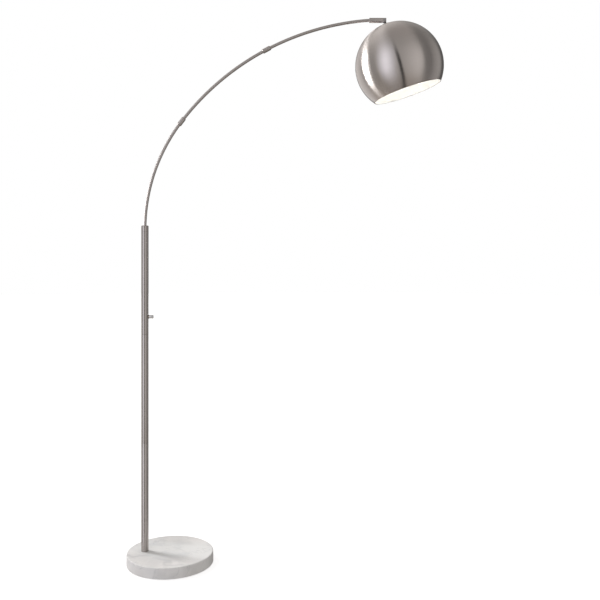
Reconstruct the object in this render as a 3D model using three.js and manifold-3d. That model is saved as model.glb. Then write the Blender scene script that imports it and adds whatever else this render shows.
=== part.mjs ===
// Arc floor lamp: a marble base, a pole in three lengths, a curved arm in three lengths and a spun dome shade
// that tilts on a hinge at the arm's end. Millimetres, +Z up. The shade hangs out over +X, and the origin is
// the centre of the base's underside.

import * as THREE from 'three';
import { mergeVertices } from 'three/addons/utils/BufferGeometryUtils.js';
import Module from 'manifold-3d';

const wasm = await Module();
wasm.setup();

const degrees = Math.PI / 180;
const quarterTurn = Math.PI / 2;

// ---- Clearances ----
const fitGap = 0.3; // round a piece that sits inside another, and between faces in a turned group
const rodGap = 0.5; // round a bent rod in a straight bore
const seatGap = 0.05; // between flat faces stacked up the pole's axis
const stoneGap = 0.8; // round the threaded rod in the marble
const overcut = 1; // how far a cutting shape runs past the face that it opens

// ---- Base ----
const baseDiameter = 300;
const marbleThickness = 38;
const marbleTopRound = 4;
const marbleFootChamfer = 1.5;
const padThickness = 2;
const padInset = 7; // the pad stops this far inside the rim
const poleOffset = 88.4; // the pole stands this far behind the base's centre
const recessDiameter = 42; // pocket under the base for the fixing nut
const recessDepth = 26;
const padHoleMargin = 3; // the pad's hole is this much wider than the pocket, on the radius
const channelWidth = 9; // groove under the base for the lead, from the pocket to the rim
const channelHeight = 9;
const bushingLength = 12;
const bushingSetback = 0.5; // from the rim to the bushing's face

// ---- Base fixing ----
const threadDiameter = 10; // hollow threaded rod, as lamps use
const threadBore = 7;
const fixingNutAcross = 17;
const fixingNutHeight = 6;
const lockWasherDiameter = 18;
const lockWasherThickness = 1.6;
const plateWasherDiameter = 38;
const plateWasherThickness = 2.5;
const rodTailLength = 1.5; // the rod shows this much below its nut
const footPlugHeight = 24;
const rodTopInset = 2; // the rod stops this far below the plug's top

// ---- Pole ----
const poleDiameter = 25.4;
const poleWall = 1.2;
const poleTubeLength = 379; // the lower and middle tubes
const upperTubeLength = 358;
const tubeEdge = 0.5; // chamfer on the tube ends, which shows as a fine seam
const poleJointLength = 60;
const poleJointWall = 3.2;
const poleCapHeight = 22;
const poleCapRound = 3.5;
const poleCapSpigot = 14;
const socketDepth = 62;
const socketFloor = 4;
const bendBelowTop = 14.5; // the arm starts to bend this far below the pole's top
const clampScrewDiameter = 5;
const clampScrewSetback = 0.6; // below the pole cap's surface
const clampSocketRadius = 1.4;
const clampSocketDepth = 1.8;

// ---- Switch ----
const switchAboveSeam = 61; // the switch's axis over the upper seam
const switchBodyHeight = 40;
const switchBodyGap = 1.5; // round the switch body in the pole
const switchNeckDiameter = 9.6;
const switchShaftDiameter = 6;
const switchShaftInset = 6; // how far the shaft reaches into the switch body
const switchNutThickness = 2;
const knobDiameter = 12.6;
const knobRimDiameter = 13.8;
const knobLength = 14.2;
const knobRimLength = 3.6;
const knobEdge = 0.8;
const knobFace = 4; // solid metal behind the knob's face

// ---- Arm ----
const rodDiameter = 10.8;
const rodWall = 1;
const lowerBend = { radius: 622, sweep: 37.4 * degrees };
const middleBend = { radius: 907.4, sweep: 24.75 * degrees };
const upperBend = { radius: 907.4, sweep: 22.85 * degrees };
const levellingRadius = 220; // the last bend, which brings the arm's end level
const couplingLength = 31;
const couplingWall = 2.35;
const couplingEdge = 1.8;
const spigotLength = 50;
const spigotWall = 0.9;
const rodMeetingGap = 1; // between two rod ends inside a coupling
const leadDiameter = 5;
const leadGap = 1; // round the lead in the holes it passes through
const leadOverrun = 6; // the arm's lead ends this far past the last rod

// ---- End sleeve and hinge ----
const sleeveLength = 58.7;
const sleeveWall = 2.9;
const sleeveEdge = 0.8;
const sleeveLap = 4.1; // the sleeve starts this far before the arm is level
const rodSeatDepth = 38;
const pivotInset = 6.1; // from the sleeve's end to the hinge's axis
const tongueThickness = 4;
const tongueEyeRadius = 5.5;
const tongueWidth = 8;
const hingeWasherThickness = 0.9;
const hingeWasherRadius = 5.4;
const hingeScrewDiameter = 5;
const hingeHeadDiameter = 8;
const hingeHeadThickness = 2.4;
const hingeHeadEdge = 0.6;
const hingeSeatDepth = 1.5; // flat sunk into each cheek of the fork
const driverSlotWidth = 1;
const driverSlotDepth = 0.6;
const forkDepthGap = 0.8; // from the tongue's eye to the bottom of the fork
const tilt = 18 * degrees;

// ---- Shade ----
const shadeRadius = 153.75;
const shadeWall = 1.2;
const shadeDepthRatio = 0.617; // the mouth lies this share of the radius below the centre
const lipWidth = 2.6;
const lipHeight = 2.6;
const lipSlope = 0.8;
const capRadius = 16;
const capWall = 1;
const capRimHeight = 0.8; // the straight edge under the cap's dome
const tongueFootRadius = 6.5;
const tongueFootHeight = 2.3;
const tongueFootWeb = 0.7;

// ---- Lampholder and bulb ----
const shadeWasherRadius = 9;
const shadeWasherThickness = 1.2;
const shadeNutAcross = 14;
const shadeNutHeight = 3.5;
const holderRadius = 20;
const holderWall = 1.5;
const holderShoulderRadius = 12;
const holderCupHeight = 24;
const holderCupStraight = 12;
const nippleReach = 6; // how far the threaded tube reaches into the holder's cup
const holderSkirtHeight = 36;
const insulatorHeight = 8;
const bulbCapRadius = 13;
const bulbCapHeight = 23;
const bulbCapWall = 0.6;
const bulbCapTaper = 4;
const bulbCapTopRadius = 6.5;
const bulbCapHole = 3.5;
const threadShellWall = 0.7;
const shellInset = 2; // inside the skirt's mouth
const contactRadius = 4.5;
const contactThickness = 2;
const leafThickness = 0.8;
const leafWidth = 5;
const bulbGlobeRadius = 30;
const bulbGlobeDrop = 78; // from the bulb's contact to the globe's centre
const bulbWall = 1;
const bulbNeckInset = 12; // how far the glass neck reaches into the bulb's cap
const bulbNeckShown = 6; // straight neck below the cap
const bulbShoulder = 14 * degrees; // the globe ends this much before it would meet the neck

// ---- Sides of the round shapes ----
const finely = 40;
const evenly = 24;
const coarsely = 16;
const rodSides = 12;
const cableSides = 8;

// ---- Sizes that follow from those above ----
const poleX = -poleOffset;
const baseTop = padThickness + marbleThickness;
const poleRadius = poleDiameter / 2;
const poleBore = poleRadius - poleWall;
const poleCoreRadius = poleBore - fitGap;
const poleFoot = baseTop + seatGap;
const lowerSeam = baseTop + poleTubeLength;
const upperSeam = lowerSeam + poleTubeLength;
const poleTubeTop = upperSeam + upperTubeLength;
const switchHeight = upperSeam + switchAboveSeam;
const poleTop = poleTubeTop + poleCapHeight;
const rodRadius = rodDiameter / 2;
const rodBore = rodRadius - rodWall;
const threadRadius = threadDiameter / 2;
const threadHole = threadRadius + fitGap;
const leadRadius = leadDiameter / 2;
const leadHole = leadRadius + leadGap;
const socketTop = poleTubeTop - poleCapSpigot - seatGap;
const socketBottom = socketTop - socketDepth;
const rodFoot = socketBottom + socketFloor + fitGap;
const bendStart = poleTop - bendBelowTop;
const sleeveRadius = rodRadius + rodGap + sleeveWall;
const slotWidth = tongueThickness + 2 * (hingeWasherThickness + fitGap);
const capTop = -(Math.hypot(sleeveRadius, pivotInset) + fitGap);
const footTop = capTop - capWall - fitGap;
const shadeTop = footTop - tongueFootHeight - fitGap;
const shadeCentre = shadeTop - shadeRadius;
const shadeRim = shadeCentre - shadeDepthRatio * shadeRadius;

// ---- Finishes ----
function finish(color, roughness, metalness) {
  return new THREE.MeshStandardMaterial({ color, roughness, metalness });
}

const brushedNickel = finish(0xa8a29b, 0.32, 1);
const polishedChrome = finish(0xd8d8da, 0.08, 1);
const zincSteel = finish(0x9a9c9f, 0.45, 1);
const brass = finish(0xc9a554, 0.3, 1);
const whiteMarble = finish(0xdcdcda, 0.25, 0);
const blackRubber = finish(0x1d1d1e, 0.85, 0);
const blackPlastic = finish(0x222224, 0.5, 0);
const whitePorcelain = finish(0xeeeae2, 0.25, 0);
const opalGlass = finish(0xf6f4ee, 0.2, 0);
const leadSheath = finish(0xd9d9d6, 0.55, 0);

// ---- Shape helpers ----

// A round shape about Z. Its outline is [radius, height] pairs, going up on the outside.
function revolve(outline, sides) {
  const points = outline.map(([radius, height]) => new THREE.Vector2(radius, height));
  return new THREE.LatheGeometry(points, sides).rotateX(quarterTurn);
}

function bar(radius, bottom, top, sides = coarsely, edge = 0) {
  const outline = [[0, bottom], [radius - edge, bottom]];
  if (edge > 0) {
    outline.push([radius, bottom + edge], [radius, top - edge]);
  }
  outline.push([radius - edge, top], [0, top]);
  return revolve(outline, sides);
}

function ring(radius, bore, bottom, top, sides = coarsely, edge = 0) {
  const outline = [[bore, bottom], [radius - edge, bottom]];
  if (edge > 0) {
    outline.push([radius, bottom + edge], [radius, top - edge]);
  }
  outline.push([radius - edge, top], [bore, top], [bore, bottom]);
  return revolve(outline, sides);
}

// Points of an arc about [radius, height], by angles counted from straight up towards the outside.
function arc(centre, radius, from, to, steps) {
  return Array.from({ length: steps + 1 }, (_, i) => {
    const angle = from + ((to - from) * i) / steps;
    return [centre[0] + radius * Math.sin(angle), centre[1] + radius * Math.cos(angle)];
  });
}

function block(sizeX, sizeY, sizeZ, x, y, z) {
  return new THREE.BoxGeometry(sizeX, sizeY, sizeZ).translate(x, y, z);
}

function hexNut(across, bore, bottom, top) {
  const corner = across / Math.sqrt(3);
  return cut(bar(corner, bottom, top, 6), bar(bore, bottom - overcut, top + overcut));
}

// Turns a shape about Z so that it lies along X, or along Y.
function alongX(geometry) {
  return geometry.rotateY(quarterTurn);
}

function alongY(geometry) {
  return geometry.rotateX(-quarterTurn);
}

function toSolid(geometry) {
  const bare = geometry.clone();
  bare.deleteAttribute('normal');
  bare.deleteAttribute('uv');
  const welded = mergeVertices(bare);
  const corners = welded.index.array;
  const triangles = [];
  for (let i = 0; i < corners.length; i += 3) {
    const [a, b, c] = corners.slice(i, i + 3);
    if (a !== b && b !== c && c !== a) triangles.push(a, b, c);
  }
  return new wasm.Manifold(new wasm.Mesh({
    numProp: 3,
    vertProperties: welded.attributes.position.array,
    triVerts: Uint32Array.from(triangles),
  }));
}

function toGeometry(solid) {
  const mesh = solid.getMesh();
  const geometry = new THREE.BufferGeometry();
  geometry.setAttribute('position', new THREE.BufferAttribute(mesh.vertProperties, 3));
  geometry.setIndex(new THREE.BufferAttribute(mesh.triVerts, 1));
  geometry.computeVertexNormals();
  return geometry;
}

function cut(body, ...tools) {
  return toGeometry(tools.reduce((left, tool) => left.subtract(toSolid(tool)), toSolid(body)));
}

function join(...shapes) {
  return toGeometry(shapes.map(toSolid).reduce((whole, shape) => whole.add(shape)));
}

// A path in the XZ plane, of straights and round bends. Lean is the angle from straight up towards +X.
class BentPath {
  constructor(x, z, lean, stretches) {
    this.start = { x, z, lean };
    this.stretches = stretches;
  }

  place(distance) {
    let { x, z, lean } = this.start;
    let left = distance;
    for (const { straight, radius, sweep } of this.stretches) {
      const along = Math.min(left, straight ?? radius * Math.abs(sweep));
      if (straight !== undefined) {
        x += along * Math.sin(lean);
        z += along * Math.cos(lean);
      } else {
        const turned = radius * Math.sign(sweep);
        const next = lean + along / turned;
        x += turned * (Math.cos(lean) - Math.cos(next));
        z += turned * (Math.sin(next) - Math.sin(lean));
        lean = next;
      }
      left -= along;
    }
    return { x, z, lean };
  }

  get length() {
    const lengths = this.stretches.map(({ straight, radius, sweep }) => straight ?? radius * Math.abs(sweep));
    return lengths.reduce((sum, length) => sum + length, 0);
  }
}

class PathPart extends THREE.Curve {
  constructor(path, from, to) {
    super();
    Object.assign(this, { path, from, to });
  }

  getPoint(share, target = new THREE.Vector3()) {
    const { x, z } = this.path.place(this.from + (this.to - this.from) * share);
    return target.set(x, 0, z);
  }
}

function sweepAlong(path, from, to, radius, bore, sides, steps) {
  const section = new THREE.Shape().absarc(0, 0, radius, 0, 2 * Math.PI);
  if (bore > 0) {
    section.holes.push(new THREE.Path().absarc(0, 0, bore, 0, 2 * Math.PI, true));
  }
  const extrudePath = new PathPart(path, from, to);
  return new THREE.ExtrudeGeometry(section, { steps, curveSegments: sides / 2, extrudePath });
}

// ---- Paths of the arm and of the leads ----
const levelSweep = quarterTurn - lowerBend.sweep - middleBend.sweep - upperBend.sweep;
const armPath = new BentPath(poleX, rodFoot, 0, [
  { straight: bendStart - rodFoot },
  lowerBend,
  middleBend,
  upperBend,
  { radius: levellingRadius, sweep: levelSweep },
  { straight: sleeveLength },
]);
const lowerCouplingAt = bendStart - rodFoot + lowerBend.radius * lowerBend.sweep;
const upperCouplingAt = lowerCouplingAt + middleBend.radius * middleBend.sweep;
const levelAt = armPath.length - sleeveLength;
const sleeveAt = levelAt - sleeveLap;
const armEnd = armPath.place(levelAt);
const sleeveStartX = armEnd.x - sleeveLap;
const pivotHeight = sleeveLength - pivotInset; // along the sleeve from its start
const pivot = new THREE.Vector3(sleeveStartX + pivotHeight, 0, armEnd.z);

const channelMiddle = padThickness + channelHeight / 2;
const rimX = -baseDiameter / 2;
const leadTurnRadius = 10;
const leadStartX = rimX + bushingLength / 2;
const leadTurnPath = new BentPath(leadStartX, channelMiddle, quarterTurn, [
  { straight: poleX - leadTurnRadius - leadStartX },
  { radius: leadTurnRadius, sweep: -quarterTurn },
  { straight: leadDiameter },
]);

const lamp = new THREE.Group();

// Each piece is one named mesh.
function addPiece(group, name, geometry, material) {
  const mesh = new THREE.Mesh(geometry, material);
  mesh.name = name;
  group.add(mesh);
}

// ---- Base ----
function buildBase() {
  const base = new THREE.Group();
  lamp.add(base);
  const radius = baseDiameter / 2;
  const recessTop = padThickness + recessDepth;

  const pad = cut(
    bar(radius - padInset, 0, padThickness, finely),
    bar(recessDiameter / 2 + padHoleMargin, -overcut, padThickness + overcut).translate(poleX, 0, 0),
  );
  addPiece(base, 'base_pad', pad, blackRubber);

  const marble = revolve([
    [0, padThickness],
    [radius - marbleFootChamfer, padThickness],
    [radius, padThickness + marbleFootChamfer],
    ...arc([radius - marbleTopRound, baseTop - marbleTopRound], marbleTopRound, quarterTurn, 0, 4),
    [0, baseTop],
  ], finely);
  const pocket = bar(recessDiameter / 2, padThickness - overcut, recessTop, evenly).translate(poleX, 0, 0);
  const rodHole = bar(threadRadius + stoneGap, padThickness, baseTop + overcut).translate(poleX, 0, 0);
  const channelLength = radius - poleOffset + overcut;
  const channel = block(
    channelLength, channelWidth, channelHeight + overcut,
    poleX - channelLength / 2, 0, channelMiddle - overcut / 2,
  );
  addPiece(base, 'marble_base', cut(marble, pocket, rodHole, channel), whiteMarble);

  const bushing = block(
    bushingLength, channelWidth - 2 * fitGap, channelHeight - 2 * fitGap,
    rimX + bushingSetback + bushingLength / 2, 0, channelMiddle,
  );
  const bushingBore = alongX(bar(leadRadius + fitGap, -bushingLength, bushingLength));
  bushingBore.translate(rimX + bushingLength / 2, 0, channelMiddle);
  addPiece(base, 'cord_bushing', cut(bushing, bushingBore), blackRubber);

  const fixing = new THREE.Group();
  fixing.position.x = poleX;
  base.add(fixing);
  const plateTop = recessTop - seatGap;
  const plateBottom = plateTop - plateWasherThickness;
  const lockTop = plateBottom - seatGap;
  const lockBottom = lockTop - lockWasherThickness;
  const nutTop = lockBottom - seatGap;
  const nutBottom = nutTop - fixingNutHeight;
  const rodTop = baseTop + footPlugHeight - rodTopInset;
  const plateWasher = ring(plateWasherDiameter / 2, threadHole, plateBottom, plateTop, evenly);
  const lockWasher = ring(lockWasherDiameter / 2, threadHole, lockBottom, lockTop);
  const threadedRod = ring(threadRadius, threadBore / 2, nutBottom - rodTailLength, rodTop);
  addPiece(fixing, 'base_plate_washer', plateWasher, zincSteel);
  addPiece(fixing, 'base_lock_washer', lockWasher, zincSteel);
  addPiece(fixing, 'base_nut', hexNut(fixingNutAcross, threadHole, nutBottom, nutTop), zincSteel);
  addPiece(fixing, 'base_threaded_rod', threadedRod, zincSteel);
}

// ---- Pole ----
function buildPole() {
  const pole = new THREE.Group();
  pole.position.x = poleX;
  lamp.add(pole);

  const footPlug = ring(poleCoreRadius, threadHole, poleFoot, poleFoot + footPlugHeight);
  addPiece(pole, 'pole_foot_plug', footPlug, zincSteel);

  const seams = [poleFoot, lowerSeam, upperSeam, poleTubeTop];
  const neckHole = alongX(bar(switchNeckDiameter / 2 + fitGap, 0, poleRadius + overcut));
  neckHole.translate(0, 0, switchHeight);
  ['pole_tube_lower', 'pole_tube_middle', 'pole_tube_upper'].forEach((name, i) => {
    const tube = ring(poleRadius, poleBore, seams[i], seams[i + 1] - seatGap, evenly, tubeEdge);
    addPiece(pole, name, name === 'pole_tube_upper' ? cut(tube, neckHole) : tube, brushedNickel);
  });

  for (const [name, seam] of [['pole_joint_lower', lowerSeam], ['pole_joint_upper', upperSeam]]) {
    const half = poleJointLength / 2;
    const joint = ring(poleCoreRadius, poleCoreRadius - poleJointWall, seam - half, seam + half);
    addPiece(pole, name, joint, zincSteel);
  }

  const socket = revolve([
    [leadHole, socketBottom],
    [poleCoreRadius, socketBottom],
    [poleCoreRadius, socketTop],
    [rodRadius + rodGap, socketTop],
    [rodRadius + rodGap, socketBottom + socketFloor],
    [leadHole, socketBottom + socketFloor],
    [leadHole, socketBottom],
  ], coarsely);
  addPiece(pole, 'arm_socket', socket, zincSteel);

  const capBore = rodRadius + rodGap;
  const cap = revolve([
    [capBore, poleTubeTop - poleCapSpigot],
    [poleCoreRadius, poleTubeTop - poleCapSpigot],
    [poleCoreRadius, poleTubeTop],
    [poleRadius - tubeEdge, poleTubeTop],
    [poleRadius, poleTubeTop + tubeEdge],
    ...arc([poleRadius - poleCapRound, poleTop - poleCapRound], poleCapRound, quarterTurn, 0, 3),
    [capBore, poleTop],
    [capBore, poleTubeTop - poleCapSpigot],
  ], evenly);
  const screwHeight = poleTubeTop + poleCapHeight / 2;
  const screwRadius = clampScrewDiameter / 2;
  const screwHole = alongY(bar(screwRadius + fitGap, 0, poleRadius + overcut));
  screwHole.translate(0, 0, screwHeight);
  addPiece(pole, 'pole_cap', cut(cap, screwHole), brushedNickel);

  const screwTip = rodRadius + fitGap;
  const screwEnd = poleRadius - clampScrewSetback;
  const grubScrew = cut(
    bar(screwRadius, screwTip, screwEnd),
    bar(clampSocketRadius, screwEnd - clampSocketDepth, screwEnd + overcut, 6),
  );
  addPiece(pole, 'arm_clamp_screw', alongY(grubScrew).translate(0, 0, screwHeight), zincSteel);
}

// ---- Switch ----
function buildSwitch() {
  const bodyRadius = poleBore - switchBodyGap;
  const halfBody = switchBodyHeight / 2;
  const shaftRadius = switchShaftDiameter / 2;
  const shaftHole = shaftRadius + fitGap;
  const shaftStart = bodyRadius - switchShaftInset;
  const switchBody = cut(
    bar(bodyRadius, -halfBody, halfBody),
    alongX(bar(shaftHole, shaftStart - fitGap, poleRadius)),
  );
  addPiece(lamp, 'switch_body', switchBody.translate(poleX, 0, switchHeight), blackPlastic);

  const onAxis = new THREE.Group(); // its Z runs out of the pole along +X
  onAxis.position.set(poleX, 0, switchHeight);
  onAxis.rotation.y = quarterTurn;
  lamp.add(onAxis);
  const nutStart = poleRadius + fitGap;
  const nutEnd = nutStart + switchNutThickness;
  const neckRadius = switchNeckDiameter / 2;
  const neck = ring(neckRadius, shaftHole, bodyRadius + fitGap, nutEnd);
  addPiece(onAxis, 'switch_neck', neck, brass);
  const nut = ring(knobDiameter / 2, neckRadius + fitGap, nutStart, nutEnd, evenly);
  addPiece(onAxis, 'switch_nut', nut, brushedNickel);

  const knobStart = nutEnd + fitGap;
  const knobEnd = knobStart + knobLength;
  const knobBore = shaftRadius + fitGap;
  const boreEnd = knobEnd - knobFace;
  addPiece(onAxis, 'switch_shaft', bar(shaftRadius, shaftStart, boreEnd - fitGap), brass);
  const knobRadius = knobDiameter / 2;
  const rimRadius = knobRimDiameter / 2;
  const rimStart = knobEnd - knobRimLength;
  const knob = revolve([
    [knobBore, knobStart],
    [knobRadius, knobStart],
    [knobRadius, rimStart - knobEdge],
    [rimRadius, rimStart],
    [rimRadius, knobEnd - knobEdge],
    [rimRadius - knobEdge, knobEnd],
    [0, knobEnd],
    [0, boreEnd],
    [knobBore, boreEnd],
    [knobBore, knobStart],
  ], coarsely);
  addPiece(onAxis, 'switch_knob', knob, polishedChrome);
}

// ---- Leads inside the stand and the arm ----
function buildLeads() {
  const turn = sweepAlong(leadTurnPath, 0, leadTurnPath.length, leadRadius, 0, cableSides, 16);
  const turnTop = leadTurnPath.place(leadTurnPath.length).z;
  const halfBody = switchBodyHeight / 2;
  const riser = bar(leadRadius, turnTop - leadRadius, switchHeight - halfBody - fitGap, cableSides);
  addPiece(lamp, 'supply_lead', join(turn, riser.translate(poleX, 0, 0)), leadSheath);
  const poleLeadBottom = switchHeight + halfBody + fitGap;
  const poleLead = bar(leadRadius, poleLeadBottom, socketBottom + socketFloor, cableSides);
  addPiece(lamp, 'pole_lead', poleLead.translate(poleX, 0, 0), leadSheath);
  const armLeadEnd = sleeveAt + rodSeatDepth + leadOverrun;
  const armLead = sweepAlong(armPath, 0, armLeadEnd, leadRadius, 0, cableSides, 36);
  addPiece(lamp, 'arm_lead', armLead, leadSheath);
}

// ---- Arm ----
function buildArm() {
  const halfMeeting = rodMeetingGap / 2;
  const rods = [
    ['arm_rod_lower', 0, lowerCouplingAt - halfMeeting, 20],
    ['arm_rod_middle', lowerCouplingAt + halfMeeting, upperCouplingAt - halfMeeting, 14],
    ['arm_rod_upper', upperCouplingAt + halfMeeting, sleeveAt + rodSeatDepth, 20],
  ];
  for (const [name, from, to, steps] of rods) {
    addPiece(lamp, name, sweepAlong(armPath, from, to, rodRadius, rodBore, rodSides, steps), brushedNickel);
  }

  const couplings = [['lower', lowerCouplingAt], ['upper', upperCouplingAt]];
  for (const [which, at] of couplings) {
    const { x, z, lean } = armPath.place(at);
    const group = new THREE.Group(); // its Z follows the arm
    group.position.set(x, 0, z);
    group.rotation.y = lean;
    lamp.add(group);
    const bore = rodRadius + rodGap;
    const halfCoupling = couplingLength / 2;
    const coupling = ring(bore + couplingWall, bore, -halfCoupling, halfCoupling, evenly, couplingEdge);
    addPiece(group, `arm_coupling_${which}`, coupling, brushedNickel);
    const spigotRadius = rodBore - fitGap;
    const spigotBore = spigotRadius - spigotWall;
    const from = at - spigotLength / 2;
    const spigot = sweepAlong(armPath, from, from + spigotLength, spigotRadius, spigotBore, rodSides, 4);
    addPiece(lamp, `arm_spigot_${which}`, spigot, zincSteel);
  }
}

// ---- End sleeve with the hinge's fixed half ----
function buildSleeve() {
  const group = new THREE.Group(); // its Z runs along the sleeve, to +X
  group.position.set(sleeveStartX, 0, armEnd.z);
  group.rotation.y = quarterTurn;
  lamp.add(group);

  const rodHole = rodRadius + rodGap;
  const boreEnd = rodSeatDepth + fitGap;
  const slotStart = pivotHeight - tongueEyeRadius - forkDepthGap;
  const outside = revolve([
    [rodHole, 0],
    [sleeveRadius - sleeveEdge, 0],
    [sleeveRadius, sleeveEdge],
    [sleeveRadius, sleeveLength - sleeveEdge],
    [sleeveRadius - sleeveEdge, sleeveLength],
    [leadHole, sleeveLength],
    [leadHole, boreEnd],
    [rodHole, boreEnd],
    [rodHole, 0],
  ], evenly);
  const slotLength = sleeveLength - slotStart + overcut;
  const slot = block(3 * sleeveRadius, slotWidth, slotLength, 0, 0, slotStart + slotLength / 2);
  const reach = sleeveRadius + overcut;
  const pinHole = alongY(bar(hingeScrewDiameter / 2 + fitGap, -reach, reach));
  pinHole.translate(0, 0, pivotHeight);
  const seatRadius = hingeHeadDiameter / 2 + fitGap;
  const seatFloor = sleeveRadius - hingeSeatDepth;
  const frontSeat = alongY(bar(seatRadius, -reach, -seatFloor)).translate(0, 0, pivotHeight);
  const rearSeat = alongY(bar(seatRadius, seatFloor, reach)).translate(0, 0, pivotHeight);
  addPiece(group, 'end_sleeve', cut(outside, slot, pinHole, frontSeat, rearSeat), brushedNickel);

  const pinRadius = hingeScrewDiameter / 2;
  const headStart = seatFloor + fitGap;
  const headEnd = headStart + hingeHeadThickness;
  const headRadius = hingeHeadDiameter / 2;
  const nutBoreEnd = headEnd - hingeHeadEdge;
  const screwShape = revolve([
    [0, -headEnd],
    [headRadius - hingeHeadEdge, -headEnd],
    [headRadius, -headEnd + hingeHeadEdge],
    [headRadius, -headStart],
    [pinRadius, -headStart],
    [pinRadius, nutBoreEnd - fitGap],
    [0, nutBoreEnd - fitGap],
  ], coarsely);
  const driverSlot = block(hingeHeadDiameter, driverSlotWidth, 2 * driverSlotDepth, 0, 0, -headEnd);
  addPiece(group, 'hinge_screw', alongY(cut(screwShape, driverSlot)).translate(0, 0, pivotHeight), zincSteel);

  const capNut = revolve([
    [pinRadius + fitGap, headStart],
    [headRadius, headStart],
    [headRadius, headEnd - hingeHeadEdge],
    [headRadius - hingeHeadEdge, headEnd],
    [0, headEnd + hingeHeadEdge],
    [0, nutBoreEnd],
    [pinRadius + fitGap, nutBoreEnd],
    [pinRadius + fitGap, headStart],
  ], coarsely);
  addPiece(group, 'hinge_nut', alongY(capNut).translate(0, 0, pivotHeight), zincSteel);

  const washerInner = tongueThickness / 2 + fitGap / 2;
  for (const [which, side] of [['front', -1], ['rear', 1]]) {
    const washer = ring(hingeWasherRadius, pinRadius + fitGap, 0, hingeWasherThickness);
    const start = side > 0 ? washerInner : -washerInner - hingeWasherThickness;
    addPiece(group, `hinge_washer_${which}`, alongY(washer).translate(0, start, pivotHeight), blackPlastic);
  }
}

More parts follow.
